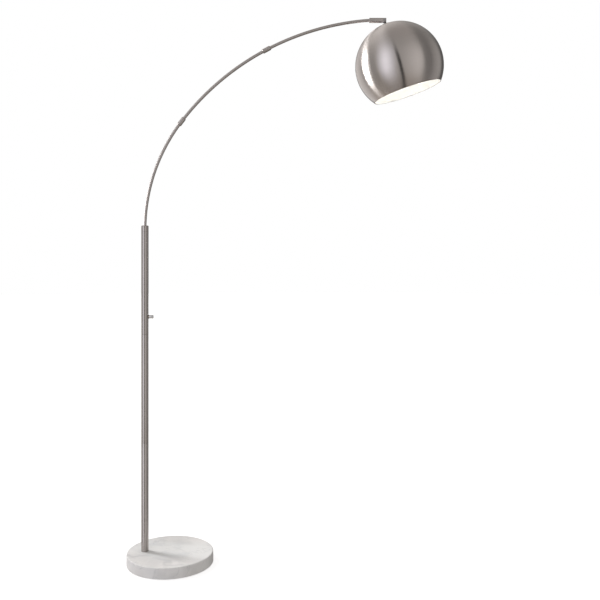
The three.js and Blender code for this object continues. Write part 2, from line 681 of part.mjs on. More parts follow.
// ---- Shade assembly, in a group whose origin is the hinge's axis and whose -Z is the shade's axis ----
function buildHead() {
  const head = new THREE.Group();
  head.position.copy(pivot);
  head.rotation.y = -tilt;
  lamp.add(head);

  const footBottom = footTop - tongueFootHeight;
  const eye = alongY(bar(tongueEyeRadius, -tongueThickness / 2, tongueThickness / 2, evenly));
  const neckLength = tongueFootWeb / 2 - footTop;
  const neck = block(tongueWidth, tongueThickness, neckLength, 0, 0, -neckLength / 2);
  const foot = bar(tongueFootRadius, footBottom, footTop, evenly);
  const pinHole = alongY(bar(hingeScrewDiameter / 2 + fitGap, -tongueThickness, tongueThickness));
  const nippleHole = bar(threadHole, footBottom - overcut, footTop - tongueFootWeb);
  addPiece(head, 'hinge_tongue', cut(join(eye, neck, foot), pinHole, nippleHole), zincSteel);

  const neckHole = Math.hypot(tongueWidth, tongueThickness) / 2 + fitGap;
  const capFlat = tongueFootRadius + fitGap;
  const capEdge = shadeCentre + Math.sqrt(shadeRadius ** 2 - capRadius ** 2) + fitGap;
  const domeWidth = capRadius - capFlat;
  const domeDrop = capTop - capEdge - capRimHeight;
  const domeRadius = (domeWidth ** 2 + domeDrop ** 2) / (2 * domeDrop);
  const domeCentre = [capFlat, capTop - domeRadius];
  const innerDome = domeRadius - capWall;
  const shadeCap = revolve([
    [capRadius - capWall, capEdge],
    [capRadius, capEdge],
    ...arc(domeCentre, domeRadius, Math.asin(domeWidth / domeRadius), 0, 4),
    [neckHole, capTop],
    [neckHole, capTop - capWall],
    ...arc(domeCentre, innerDome, 0, Math.asin((domeWidth - capWall) / innerDome), 4),
    [capRadius - capWall, capEdge],
  ], evenly);
  addPiece(head, 'shade_cap', shadeCap, polishedChrome);

  const nippleTop = footTop - tongueFootWeb - fitGap;
  const innerTop = shadeTop - shadeWall;
  const washerTop = innerTop - 2 * fitGap;
  const washerBottom = washerTop - shadeWasherThickness;
  const nutTop = washerBottom - fitGap;
  const nutBottom = nutTop - shadeNutHeight;
  const cupTop = nutBottom - fitGap;
  const cupBottom = cupTop - holderCupHeight;
  const nippleBottom = cupTop - nippleReach;
  addPiece(head, 'shade_nipple', ring(threadRadius, threadBore / 2, nippleBottom, nippleTop), zincSteel);
  addPiece(head, 'shade_washer', ring(shadeWasherRadius, threadHole, washerBottom, washerTop), zincSteel);
  addPiece(head, 'shade_nut', hexNut(shadeNutAcross, threadHole, nutBottom, nutTop), brass);

  const rimAngle = Math.acos(-shadeDepthRatio);
  const holeAngle = Math.asin(threadHole / shadeRadius);
  const innerRadius = shadeRadius - shadeWall;
  const rimRadius = shadeRadius * Math.sin(rimAngle);
  const lipTop = shadeRim + lipHeight;
  const innerRimAngle = Math.acos((lipTop - shadeCentre) / innerRadius);
  const innerHoleAngle = Math.asin(threadHole / innerRadius);
  const shade = revolve([
    ...arc([0, shadeCentre], shadeRadius, rimAngle, holeAngle, 14),
    ...arc([0, shadeCentre], innerRadius, innerHoleAngle, innerRimAngle, 13),
    [rimRadius - lipWidth, lipTop - lipSlope],
    [rimRadius - lipWidth, shadeRim],
    [rimRadius, shadeRim],
  ], finely);
  addPiece(head, 'shade', shade, brushedNickel);

  const holderCup = revolve([
    [holderRadius - holderWall, cupBottom],
    [holderRadius, cupBottom],
    [holderRadius, cupBottom + holderCupStraight],
    [holderShoulderRadius, cupTop],
    [threadHole, cupTop],
    [threadHole, cupTop - holderWall],
    [holderShoulderRadius - holderWall, cupTop - holderWall],
    [holderRadius - holderWall, cupBottom + holderCupStraight - holderWall],
    [holderRadius - holderWall, cupBottom],
  ], coarsely);
  addPiece(head, 'holder_cup', holderCup, blackPlastic);

  const skirtTop = cupBottom - fitGap;
  const skirtBottom = skirtTop - holderSkirtHeight;
  const skirtBore = holderRadius - holderWall;
  addPiece(head, 'holder_skirt', ring(holderRadius, skirtBore, skirtBottom, skirtTop), blackPlastic);

  const insulatorBottom = skirtTop - insulatorHeight;
  const insulator = bar(skirtBore - fitGap, insulatorBottom, skirtTop - fitGap);
  addPiece(head, 'holder_insulator', insulator, whitePorcelain);

  const leafTop = insulatorBottom - fitGap;
  const leafStep = 1.6;
  const leafReach = 6;
  const leafOutline = new THREE.Shape([
    new THREE.Vector2(-leafReach, leafTop - leafThickness),
    new THREE.Vector2(-leafReach / 3, leafTop - leafThickness - leafStep),
    new THREE.Vector2(leafReach / 2, leafTop - leafThickness - leafStep),
    new THREE.Vector2(leafReach / 2, leafTop - leafStep),
    new THREE.Vector2(-leafReach / 3, leafTop - leafStep),
    new THREE.Vector2(-leafReach, leafTop),
  ]);
  const leaf = new THREE.ExtrudeGeometry(leafOutline, { depth: leafWidth, bevelEnabled: false });
  addPiece(head, 'holder_contact', leaf.rotateX(quarterTurn).translate(0, leafWidth / 2, 0), brass);

  const contactTop = leafTop - leafThickness - leafStep - fitGap;
  const contactBottom = contactTop - contactThickness;
  addPiece(head, 'bulb_contact', bar(contactRadius, contactBottom, contactTop), brass);

  const capUpper = contactBottom - fitGap;
  const capLower = capUpper - bulbCapHeight;
  const bulbCap = revolve([
    [bulbCapRadius - bulbCapWall, capLower],
    [bulbCapRadius, capLower],
    [bulbCapRadius, capUpper - bulbCapTaper],
    [bulbCapTopRadius, capUpper],
    [bulbCapHole, capUpper],
    [bulbCapHole, capUpper - bulbCapWall],
    [bulbCapTopRadius - bulbCapWall, capUpper - bulbCapWall],
    [bulbCapRadius - bulbCapWall, capUpper - bulbCapTaper - bulbCapWall],
    [bulbCapRadius - bulbCapWall, capLower],
  ], coarsely);
  addPiece(head, 'bulb_cap', bulbCap, brushedNickel);

  const shellBore = bulbCapRadius + 2 * fitGap;
  const shellBottom = skirtBottom + shellInset;
  const threadShell = ring(shellBore + threadShellWall, shellBore, shellBottom, insulatorBottom - fitGap);
  addPiece(head, 'holder_thread_shell', threadShell, brass);

  const globeCentre = contactTop - bulbGlobeDrop;
  const neckRadius = bulbCapRadius - bulbCapWall - fitGap;
  const neckTop = capLower + bulbNeckInset;
  const shoulderAngle = Math.asin(neckRadius / bulbGlobeRadius) + bulbShoulder;
  const inside = bulbGlobeRadius - bulbWall;
  const globe = revolve([
    ...arc([0, globeCentre], bulbGlobeRadius, Math.PI, shoulderAngle, 7),
    [neckRadius, capLower - bulbNeckShown],
    [neckRadius, neckTop],
    [neckRadius - bulbWall, neckTop],
    [neckRadius - bulbWall, capLower - bulbNeckShown],
    ...arc([0, globeCentre], inside, shoulderAngle, Math.PI, 7),
  ], coarsely);
  addPiece(head, 'bulb_globe', globe, opalGlass);

  const headLead = bar(leadRadius, skirtTop + fitGap, nippleTop, cableSides);
  addPiece(head, 'head_lead', headLead, leadSheath);
}

buildBase();
buildPole();
buildSwitch();
buildLeads();
buildArm();
buildSleeve();
buildHead();

export default lamp;
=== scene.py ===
# Arc floor lamp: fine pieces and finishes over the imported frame.
# Metres, +Z up, the shade hangs out over +X and the base stands on the floor at Z 0.

import math

import bmesh
import bpy
from mathutils import Matrix, Vector


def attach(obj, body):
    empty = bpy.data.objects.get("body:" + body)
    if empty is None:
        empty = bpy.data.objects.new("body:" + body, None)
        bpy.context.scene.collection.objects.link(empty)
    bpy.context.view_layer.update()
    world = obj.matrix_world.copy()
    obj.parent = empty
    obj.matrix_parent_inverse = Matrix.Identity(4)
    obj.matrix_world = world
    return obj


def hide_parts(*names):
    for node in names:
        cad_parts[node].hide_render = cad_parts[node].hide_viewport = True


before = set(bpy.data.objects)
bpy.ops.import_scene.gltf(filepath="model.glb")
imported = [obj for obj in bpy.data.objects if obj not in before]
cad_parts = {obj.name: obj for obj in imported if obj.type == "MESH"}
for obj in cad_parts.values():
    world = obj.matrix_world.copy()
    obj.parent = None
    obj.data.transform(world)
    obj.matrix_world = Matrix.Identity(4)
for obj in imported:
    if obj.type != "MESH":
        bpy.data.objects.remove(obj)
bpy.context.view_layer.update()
scene = bpy.context.scene
mm = 0.001
tau = 2 * math.pi
white, black = (1, 1, 1), (0, 0, 0)

# camera first: level, a little left of the shade, with the horizon above the middle of the frame
view = {"place": (0.4539, -2.7798, 1.1062), "lens": 47.7, "shiftY": -0.09, "farthest": 60}
cameraData = bpy.data.cameras.new("camera")
cameraData.lens = view["lens"]
cameraData.shift_y = view["shiftY"]
cameraData.clip_end = view["farthest"]
camera = bpy.data.objects.new("camera", cameraData)
camera.location = view["place"]
camera.rotation_euler = (math.radians(90), 0, 0)
scene.collection.objects.link(camera)
bpy.context.scene.camera = camera
print("camera set")


# shorthand for building node trees: a socket is written (node, name or number)
def put(tree, kind, inputs=None, **settings):
    node = tree.nodes.new(kind)
    for key, value in settings.items():
        setattr(node, key, value)
    for key, value in (inputs or {}).items():
        node.inputs[key].default_value = value
    return node


def wire(tree, source, target):
    tree.links.new(source[0].outputs[source[1]], target[0].inputs[target[1]])


def ramp(tree, stops, interpolation="LINEAR"):
    node = put(tree, "ShaderNodeValToRGB")
    node.color_ramp.interpolation = interpolation
    marks = node.color_ramp.elements
    while len(marks) < len(stops):
        marks.new(0.5)
    for mark, (at, colour) in zip(marks, stops):
        mark.position = at
        mark.color = (*colour, 1)
    return node


# each value is a plain number or a socket
def calc(tree, operation, *values):
    node = put(tree, "ShaderNodeMath", operation=operation)
    for i, value in enumerate(values):
        if isinstance(value, tuple):
            wire(tree, value, (node, i))
        else:
            node.inputs[i].default_value = value
    return node


# smoothly 0 to 1 as a height goes from one value to another
def rising(tree, source, start, end):
    node = put(tree, "ShaderNodeMapRange", {"From Min": start, "From Max": end},
               interpolation_type="SMOOTHSTEP")
    wire(tree, source, (node, "Value"))
    return node


def newMaterial(name, constants):
    material = bpy.data.materials.new(name)
    material.use_nodes = True
    tree = material.node_tree
    tree.nodes.clear()
    shader = put(tree, "ShaderNodeBsdfPrincipled", constants)
    wire(tree, (shader, "BSDF"), (put(tree, "ShaderNodeOutputMaterial"), "Surface"))
    return material, tree, shader


# A noise pattern on its source socket's coordinates.
def noise(tree, source, scale, detail, roughness=0.5, distortion=0.0):
    node = put(tree, "ShaderNodeTexNoise", {
        "Scale": scale, "Detail": detail, "Roughness": roughness, "Distortion": distortion})
    wire(tree, source, (node, "Vector"))
    return node


# Lets a pattern drive the roughness from low to high as it goes from start to end.
def unevenGloss(tree, shader, source, low, high, start=0.3, end=0.7):
    node = put(tree, "ShaderNodeMapRange", {
        "From Min": start, "From Max": end, "To Min": low, "To Max": high})
    wire(tree, source, (node, "Value"))
    wire(tree, (node, 0), (shader, "Roughness"))


def grainBump(tree, shader, source, strength, depth):
    node = put(tree, "ShaderNodeBump", {"Strength": strength, "Distance": depth * mm})
    wire(tree, source, (node, "Height"))
    wire(tree, (node, 0), (shader, "Normal"))


# brushed metal: fine lines run round the piece (u), so a highlight is drawn out along it (v)
def brushedMetal(name, look):
    constants = {
        "Metallic": 1.0,
        "Roughness": look["roughness"],
        "Anisotropic": look["stretch"],
        "Anisotropic Rotation": 0.25,
        "IOR": 1.5,
    }
    material, tree, shader = newMaterial(name, constants)
    uv = put(tree, "ShaderNodeUVMap", uv_map="UVMap")
    parts = put(tree, "ShaderNodeSeparateXYZ")
    wire(tree, (uv, "UV"), (parts, 0))
    turn = calc(tree, "MULTIPLY", (parts, "X"), tau)
    around = put(tree, "ShaderNodeCombineXYZ")
    for axis, operation in (("X", "COSINE"), ("Y", "SINE")):
        bend = calc(tree, operation, (turn, 0))
        wire(tree, (calc(tree, "MULTIPLY", (bend, 0), look["lineLength"]), 0), (around, axis))
    wire(tree, (calc(tree, "MULTIPLY", (parts, "Y"), look["linesPerMetre"]), 0), (around, "Z"))
    lines = noise(tree, (around, 0), 1.0, 4.0, 0.65)
    place = put(tree, "ShaderNodeTexCoord")
    cloud = noise(tree, (place, "Object"), look["cloudScale"], 3.0)

    tone = put(tree, "ShaderNodeMix", data_type="RGBA")
    tone.inputs["A"].default_value = (*look["darkTone"], 1)
    tone.inputs["B"].default_value = (*look["lightTone"], 1)
    lineShare = calc(tree, "MULTIPLY", (lines, "Fac"), look["lineTone"])
    cloudShare = calc(tree, "MULTIPLY", (cloud, "Fac"), 1 - look["lineTone"])
    mixed = calc(tree, "ADD", (lineShare, 0), (cloudShare, 0))
    spread = put(tree, "ShaderNodeMapRange", {"From Min": 0.32, "From Max": 0.68})
    wire(tree, (mixed, 0), (spread, "Value"))
    wire(tree, (spread, 0), (tone, "Factor"))
    wire(tree, (tone, "Result"), (shader, "Base Color"))
    low, high = (look["roughness"] + side * look["roughnessSpread"] for side in (-1, 1))
    unevenGloss(tree, shader, (mixed, 0), low, high)
    grainBump(tree, shader, (lines, "Fac"), look["lineStrength"], look["lineDepth"])
    tangent = put(tree, "ShaderNodeTangent", direction_type="UV_MAP", uv_map="UVMap")
    wire(tree, (tangent, 0), (shader, "Tangent"))
    return material


# a metal, plastic or glaze with clouded tone, uneven gloss and a fine grain
def mottled(name, look):
    constants = {"Metallic": look.get("metal", 0.0), "Coat Weight": look.get("coat", 0.0),
                 "Coat Roughness": 0.1, "IOR": 1.5}
    material, tree, shader = newMaterial(name, constants)
    place = put(tree, "ShaderNodeTexCoord")
    cloud = noise(tree, (place, "Object"), look["cloudScale"], 5.0, 0.6)
    grain = noise(tree, (place, "Object"), look["grainScale"], 2.0)
    tone = ramp(tree, [(0.35, look["darkTone"]), (0.65, look["lightTone"])])
    wire(tree, (cloud, "Fac"), (tone, "Fac"))
    wire(tree, (tone, "Color"), (shader, "Base Color"))
    unevenGloss(tree, shader, (cloud, "Fac"), *look["roughness"])
    grainBump(tree, shader, (grain, "Fac"), look["grainStrength"], look["grainDepth"])
    if "glow" in look:
        shader.inputs["Emission Color"].default_value = (*look["glowTone"], 1)
        shader.inputs["Emission Strength"].default_value = look["glow"]
    return material


# white marble: broad grey clouds, long soft veins and a few thin ones, all warped by a slow noise
marbleLook = {
    "white": (0.84, 0.84, 0.83), "cloud": (0.69, 0.70, 0.705), "vein": (0.33, 0.34, 0.35),
    "warm": (0.74, 0.69, 0.665),
    "cloudScale": 9.0, "cloudFrom": 0.46, "cloudTo": 0.66, "cloudShare": 0.75,
    "patchScale": 4.0, "patchFrom": 0.42, "patchTo": 0.6, "warmShare": 0.35,
    "driftScale": 6.0, "warp": 0.10, "shift": (0.11, 0.04, 0.0), "turn": (0.3, 0.2, math.radians(28)),
    "broad": {"scale": 5.0, "width": 0.05, "detail": 3.0, "shift": (0.0, 0.0, 0.0), "share": 0.3},
    "thin": {"scale": 11.0, "width": 0.012, "detail": 5.0, "shift": (0.7, 0.2, 0.4), "share": 0.2},
    "veinStretch": (0.55, 1.0, 0.8), "roughness": (0.28, 0.42),
    "coat": 0.25, "coatRoughness": 0.12, "poreScale": 900.0, "poreStrength": 0.12, "poreDepth": 0.05,
}


def makeMarble(look):
    material, tree, shader = newMaterial("honed white marble", {
        "Coat Weight": look["coat"], "Coat Roughness": look["coatRoughness"], "IOR": 1.5})
    place = put(tree, "ShaderNodeTexCoord")
    moved = put(tree, "ShaderNodeMapping", {"Location": look["shift"], "Rotation": look["turn"]})
    wire(tree, (place, "Object"), (moved, "Vector"))
    drift = noise(tree, (moved, 0), look["driftScale"], 3.0)
    middle = put(tree, "ShaderNodeVectorMath", {1: (0.5, 0.5, 0.5)}, operation="SUBTRACT")
    wire(tree, (drift, "Color"), (middle, 0))
    push = put(tree, "ShaderNodeVectorMath", {"Scale": look["warp"]}, operation="SCALE")
    wire(tree, (middle, 0), (push, 0))
    warped = put(tree, "ShaderNodeVectorMath", operation="ADD")
    wire(tree, (moved, 0), (warped, 0))
    wire(tree, (push, 0), (warped, 1))

    clouds = noise(tree, (warped, 0), look["cloudScale"], 6.0, 0.55)
    cloudy = ramp(tree, [(look["cloudFrom"], black), (look["cloudTo"], white)], "EASE")
    wire(tree, (clouds, "Fac"), (cloudy, "Fac"))
    patches = noise(tree, (moved, 0), look["patchScale"], 1.0)
    patchy = ramp(tree, [(look["patchFrom"], black), (look["patchTo"], white)], "EASE")
    wire(tree, (patches, "Fac"), (patchy, "Fac"))

    def veins(kind):  # strong where a noise crosses its middle value
        stretched = put(tree, "ShaderNodeMapping", {"Location": kind["shift"], "Scale": look["veinStretch"]})
        wire(tree, (warped, 0), (stretched, "Vector"))
        field = noise(tree, (stretched, 0), kind["scale"], kind["detail"], 0.55, distortion=0.4)
        away = calc(tree, "ABSOLUTE", (calc(tree, "SUBTRACT", (field, "Fac"), 0.5), 0))
        fade = rising(tree, (away, 0), 0.0, kind["width"])
        fade.inputs["To Min"].default_value = 1.0
        fade.inputs["To Max"].default_value = 0.0
        return (fade, 0)

    def stain(under, amount, share, colour):
        node = put(tree, "ShaderNodeMix", data_type="RGBA")
        wire(tree, (calc(tree, "MULTIPLY", amount, share), 0), (node, "Factor"))
        if under == "white":
            node.inputs["A"].default_value = (*look["white"], 1)
        else:
            wire(tree, under, (node, "A"))
        node.inputs["B"].default_value = (*look[colour], 1)
        return (node, "Result")

    broadHere = (calc(tree, "MULTIPLY", veins(look["broad"]), (patchy, "Color")), 0)
    colour = stain("white", (cloudy, "Color"), look["cloudShare"], "cloud")
    colour = stain(colour, (patchy, "Color"), look["warmShare"], "warm")
    colour = stain(colour, broadHere, look["broad"]["share"], "vein")
    colour = stain(colour, veins(look["thin"]), look["thin"]["share"], "vein")
    wire(tree, colour, (shader, "Base Color"))
    unevenGloss(tree, shader, (clouds, "Fac"), *look["roughness"], start=0.0, end=1.0)
    pores = noise(tree, (place, "Object"), look["poreScale"], 2.0)
    grainBump(tree, shader, (pores, "Fac"), look["poreStrength"], look["poreDepth"])
    return material


brushedNickel = brushedMetal("brushed nickel", {
    "darkTone": (0.41, 0.38, 0.362), "lightTone": (0.48, 0.447, 0.43), "cloudScale": 9.0,
    "roughness": 0.24, "roughnessSpread": 0.03, "stretch": 1.0, "lineLength": 0.5, "linesPerMetre": 1200,
    "lineTone": 0.5, "lineStrength": 0.05, "lineDepth": 0.04,
})
spunShade = brushedMetal("spun brushed nickel", {
    "darkTone": (0.47, 0.435, 0.415), "lightTone": (0.56, 0.52, 0.50), "cloudScale": 7.0,
    "roughness": 0.25, "roughnessSpread": 0.02, "stretch": 1.0, "lineLength": 0.8, "linesPerMetre": 1500,
    "lineTone": 0.6, "lineStrength": 0.1, "lineDepth": 0.06,
})
polishedChrome = mottled("polished chrome", {
    "metal": 1.0, "darkTone": (0.80, 0.80, 0.81), "lightTone": (0.87, 0.87, 0.88), "cloudScale": 120,
    "grainScale": 900, "grainStrength": 0.02, "grainDepth": 0.02, "roughness": (0.06, 0.13),
})
zincSteel = mottled("zinc plated steel", {
    "metal": 1.0, "darkTone": (0.30, 0.30, 0.31), "lightTone": (0.42, 0.42, 0.43), "cloudScale": 160,
    "grainScale": 1400, "grainStrength": 0.15, "grainDepth": 0.04, "roughness": (0.28, 0.45),
})
plainBrass = mottled("plain brass", {
    "metal": 1.0, "darkTone": (0.52, 0.36, 0.13), "lightTone": (0.66, 0.49, 0.22), "cloudScale": 140,
    "grainScale": 1200, "grainStrength": 0.1, "grainDepth": 0.03, "roughness": (0.22, 0.38),
})
blackPlastic = mottled("moulded black plastic", {
    "darkTone": (0.012, 0.012, 0.013), "lightTone": (0.022, 0.022, 0.023), "cloudScale": 60,
    "grainScale": 1600, "grainStrength": 0.25, "grainDepth": 0.05, "roughness": (0.38, 0.52),
})
blackRubber = mottled("black rubber", {
    "darkTone": (0.010, 0.010, 0.010), "lightTone": (0.026, 0.025, 0.024), "cloudScale": 90,
    "grainScale": 1100, "grainStrength": 0.5, "grainDepth": 0.12, "roughness": (0.72, 0.9),
})
whitePorcelain = mottled("glazed porcelain", {
    "darkTone": (0.74, 0.72, 0.67), "lightTone": (0.82, 0.81, 0.77), "cloudScale": 80,
    "grainScale": 500, "grainStrength": 0.05, "grainDepth": 0.05, "roughness": (0.2, 0.32), "coat": 0.5,
})
whiteEnamel = mottled("white enamel", {
    "darkTone": (0.83, 0.825, 0.81), "lightTone": (0.88, 0.878, 0.865), "cloudScale": 30,
    "grainScale": 420, "grainStrength": 0.12, "grainDepth": 0.08, "roughness": (0.3, 0.42), "coat": 0.3,
})
opalGlass = mottled("opal glass", {
    "darkTone": (0.86, 0.85, 0.82), "lightTone": (0.92, 0.91, 0.89), "cloudScale": 40,
    "grainScale": 700, "grainStrength": 0.04, "grainDepth": 0.04, "roughness": (0.18, 0.28), "coat": 0.6,
    "glow": 10.5, "glowTone": (1.0, 0.965, 0.91),
})
leadSheath = mottled("clear grey lead sheath", {
    "darkTone": (0.60, 0.60, 0.59), "lightTone": (0.70, 0.70, 0.68), "cloudScale": 70,
    "grainScale": 800, "grainStrength": 0.15, "grainDepth": 0.05, "roughness": (0.42, 0.55),
})
whiteMarble = makeMarble(marbleLook)
print("finishes made")


# Rounds the corners of an outline. A corner is (radius, height) or (radius, height, round).
def eased(corners, closed, steps):
    line = []
    count = len(corners)
    for i, corner in enumerate(corners):
        here = Vector(corner[:2])
        size = corner[2] if len(corner) > 2 else 0
        if size <= 0 or (not closed and i in (0, count - 1)):
            line.append(here)
            continue
        before = (Vector(corners[i - 1][:2]) - here).normalized()
        after = (Vector(corners[(i + 1) % count][:2]) - here).normalized()
        half = before.angle(after) / 2
        reach = size / math.tan(half)
        centre = here + (before + after).normalized() * (size / math.sin(half))
        start = here + before * reach - centre
        end = here + after * reach - centre
        sweep = start.angle_signed(end)
        line += [centre + Matrix.Rotation(-sweep * k / steps, 2) @ start for k in range(steps + 1)]
    return line


# angles run from straight up towards the outside
def arcPoints(radius, centre, start, end, steps):
    angles = [start + (end - start) * i / steps for i in range(steps + 1)]
    return [(radius * math.sin(angle), centre + radius * math.cos(angle)) for angle in angles]


def moveTo(x, y, z):
    return Matrix.Translation(Vector((x, y, z)) * mm)


def addObject(name, mesh):
    obj = bpy.data.objects.new(name, mesh)
    scene.collection.objects.link(obj)
    return obj


def finished(name, bm, material=None, place=None):
    if place is not None:
        bmesh.ops.transform(bm, matrix=place, verts=bm.verts)
    mesh = bpy.data.meshes.new(name)
    bm.to_mesh(mesh)
    bm.free()
    if material:
        mesh.materials.append(material)
    return addObject(name, mesh)


def smooth(obj, crease=32):
    obj.data.shade_smooth()
    obj.data.set_sharp_from_angle(angle=math.radians(crease))
    return obj


# A round piece about Z, from an outline in millimetres.
# Its map runs once round in u, and along the outline in v, in metres.
def turned(name, corners, material, sides=96, place=None, steps=4):
    onAxis = 1e-4 * mm
    closed = corners[0][0] * mm > onAxis
    outline = [Vector((x * mm, z * mm)) for x, z in eased(corners, closed, steps)]
    bm = bmesh.new()
    uv = bm.loops.layers.uv.new("UVMap")
    turns = [tau * k / sides for k in range(sides)]
    rings = []
    for radius, height in outline:
        spots = [(radius * math.cos(a), radius * math.sin(a), height) for a in turns]
        rings.append([bm.verts.new(spot) for spot in (spots if radius > onAxis else [(0, 0, height)])])
    along = [0.0]
    for a, b in zip(outline, outline[1:] + outline[:1]):
        along.append(along[-1] + (b - a).length)
    for i in range(len(outline) if closed else len(outline) - 1):
        lower, upper = rings[i], rings[(i + 1) % len(rings)]
        for k in range(sides):
            n = (k + 1) % sides
            corner = [(lower, k, 0), (lower, n, 1), (upper, n, 1), (upper, k, 0)]
            if len(lower) == 1:
                corner = [(lower, 0, 0.5), corner[2], corner[3]]
            elif len(upper) == 1:
                corner = [corner[0], corner[1], (upper, 0, 0.5)]
            face = bm.faces.new([ring[j] for ring, j, _ in corner])
            for loop, (ring, _, step) in zip(face.loops, corner):
                loop[uv].uv = ((k + step) / sides, along[i] if ring is lower else along[i + 1])
    bmesh.ops.recalc_face_normals(bm, faces=bm.faces)
    return smooth(finished(name, bm, material, place))


def block(name, low, high, material=None, place=None):
    bm = bmesh.new()
    bmesh.ops.create_cube(bm, size=1)
    size = (Vector(high) - Vector(low)) * mm
    middle = (Vector(high) + Vector(low)) * mm / 2
    bmesh.ops.transform(bm, matrix=Matrix.Translation(middle) @ Matrix.Diagonal((*size, 1)), verts=bm.verts)
    return finished(name, bm, material, place)


def rod(name, radius, bottom, top, sides, place, material=None):
    return turned(name, [(0, bottom), (radius, bottom), (radius, top), (0, top)], material, sides, place)


# Makes the modifiers' result the object's own plain mesh.
def settle(obj):
    depsgraph = bpy.context.evaluated_depsgraph_get()
    mesh = bpy.data.meshes.new_from_object(obj.evaluated_get(depsgraph), depsgraph=depsgraph)
    obj.modifiers.clear()
    obj.data = mesh
    return obj


# Rounds every edge that turns more than 40 degrees.
def bevelled(obj, edge):
    bevel = obj.modifiers.new("edge", "BEVEL")
    bevel.width = edge * mm
    bevel.segments = 2
    bevel.limit_method = "ANGLE"
    bevel.angle_limit = math.radians(40)
    return settle(obj)


# Cuts tools out of a body, or joins them to it, then softens the new edges.
def carve(body, cuts=(), joins=(), edge=0.0):
    for operation, tools in (("UNION", joins), ("DIFFERENCE", cuts)):
        for tool in tools:
            modifier = body.modifiers.new("carve", "BOOLEAN")
            modifier.operation = operation
            modifier.solver = "EXACT"
            modifier.object = tool
            settle(body)
            bpy.data.objects.remove(tool)
    if edge:
        bevelled(body, edge)
    return smooth(body)


# A CAD node's own shape with its loose triangles merged, its flats cleaned and its edges softened.
def softened(node, name, material, edge):
    bm = bmesh.new()
    bm.from_mesh(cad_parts[node].data)
    bmesh.ops.remove_doubles(bm, verts=bm.verts, dist=2e-6)
    bmesh.ops.dissolve_limit(bm, angle_limit=math.radians(1), verts=bm.verts, edges=bm.edges)
    return smooth(bevelled(finished(name, bm, material), edge))


# Puts the other pieces' faces into the first, with their materials.
def joined(first, *others):
    bm = bmesh.new()
    slots = list(first.data.materials)
    bm.from_mesh(first.data)
    for other in others:
        count = len(bm.faces)
        moved = []
        for material in other.data.materials:
            if material not in slots:
                slots.append(material)
            moved.append(slots.index(material))
        bm.from_mesh(other.data)
        bm.faces.ensure_lookup_table()
        for face in bm.faces[count:]:
            face.material_index = moved[face.material_index] if moved else 0
        bpy.data.objects.remove(other)
    bm.to_mesh(first.data)
    bm.free()
    first.data.materials.clear()
    for material in slots:
        first.data.materials.append(material)
    return first


finePieces = []


def fit(obj, body, slot, *nodes):
    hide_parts(*nodes)
    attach(obj, body)
    finePieces.append(obj)


# node trees that repeat a piece or follow a path: their lengths are in metres
def newTree(name, numbers, counts=()):
    tree = bpy.data.node_groups.new(name, "GeometryNodeTree")
    inputs = [("Geometry", "Geometry"), *((label, "Float") for label in numbers),
              *((label, "Int") for label in counts), ("Material", "Material")]
    for label, kind in inputs:
        tree.interface.new_socket(label, in_out="INPUT", socket_type="NodeSocket" + kind)
    tree.interface.new_socket("Geometry", in_out="OUTPUT", socket_type="NodeSocketGeometry")
    return tree, put(tree, "NodeGroupInput")


def endTree(tree, source, groupIn):
    real = put(tree, "GeometryNodeRealizeInstances")
    paint = put(tree, "GeometryNodeSetMaterial")
    wire(tree, source, (real, 0))
    wire(tree, (real, 0), (paint, "Geometry"))
    wire(tree, (groupIn, "Material"), (paint, "Material"))
    wire(tree, (paint, 0), (put(tree, "NodeGroupOutput"), 0))
    return tree


def liftedBy(tree, source, height):
    lift = put(tree, "GeometryNodeTransform")
    offset = put(tree, "ShaderNodeCombineXYZ")
    wire(tree, height, (offset, "Z"))
    wire(tree, (offset, 0), (lift, "Translation"))
    wire(tree, source, (lift, "Geometry"))
    return (lift, 0)


def swept(tree, path, section, **inputs):
    tube = put(tree, "GeometryNodeCurveToMesh", inputs)
    wire(tree, path, (tube, "Curve"))
    wire(tree, section, (tube, "Profile Curve"))
    return tube


# Keeps a value of each point of a curve as the tube is made.
def remembered(tree, curve, value, label):
    keep = put(tree, "GeometryNodeCaptureAttribute")
    keep.capture_items.new("FLOAT", label)
    wire(tree, curve, (keep, 0))
    wire(tree, value, (keep, label))
    return keep


# A tube along a chain of points, mapped as a turned piece is.
def makeSweepTree():
    tree, groupIn = newTree("tube along a path", ("Radius",), ("Sides",))
    path = put(tree, "GeometryNodeMeshToCurve")
    wire(tree, (groupIn, "Geometry"), (path, "Mesh"))
    section = put(tree, "GeometryNodeCurveArc", {"Sweep Angle": tau})
    wire(tree, (groupIn, "Radius"), (section, "Radius"))
    wire(tree, (groupIn, "Sides"), (section, "Resolution"))
    spline = put(tree, "GeometryNodeSplineParameter")
    along = remembered(tree, (path, 0), (spline, "Length"), "Along")
    around = remembered(tree, (section, 0), (spline, "Factor"), "Around")
    tube = swept(tree, (along, 0), (around, 0))
    both = put(tree, "ShaderNodeCombineXYZ")
    wire(tree, (around, "Around"), (both, "X"))
    wire(tree, (along, "Along"), (both, "Y"))
    store = put(tree, "GeometryNodeStoreNamedAttribute", {"Name": "UVMap"},
                data_type="FLOAT2", domain="CORNER")
    wire(tree, (tube, 0), (store, "Geometry"))
    wire(tree, (both, 0), (store, "Value"))
    weld = put(tree, "GeometryNodeMergeByDistance", {"Distance": 1e-6})
    wire(tree, (store, 0), (weld, "Geometry"))
    return endTree(tree, (weld, 0), groupIn)


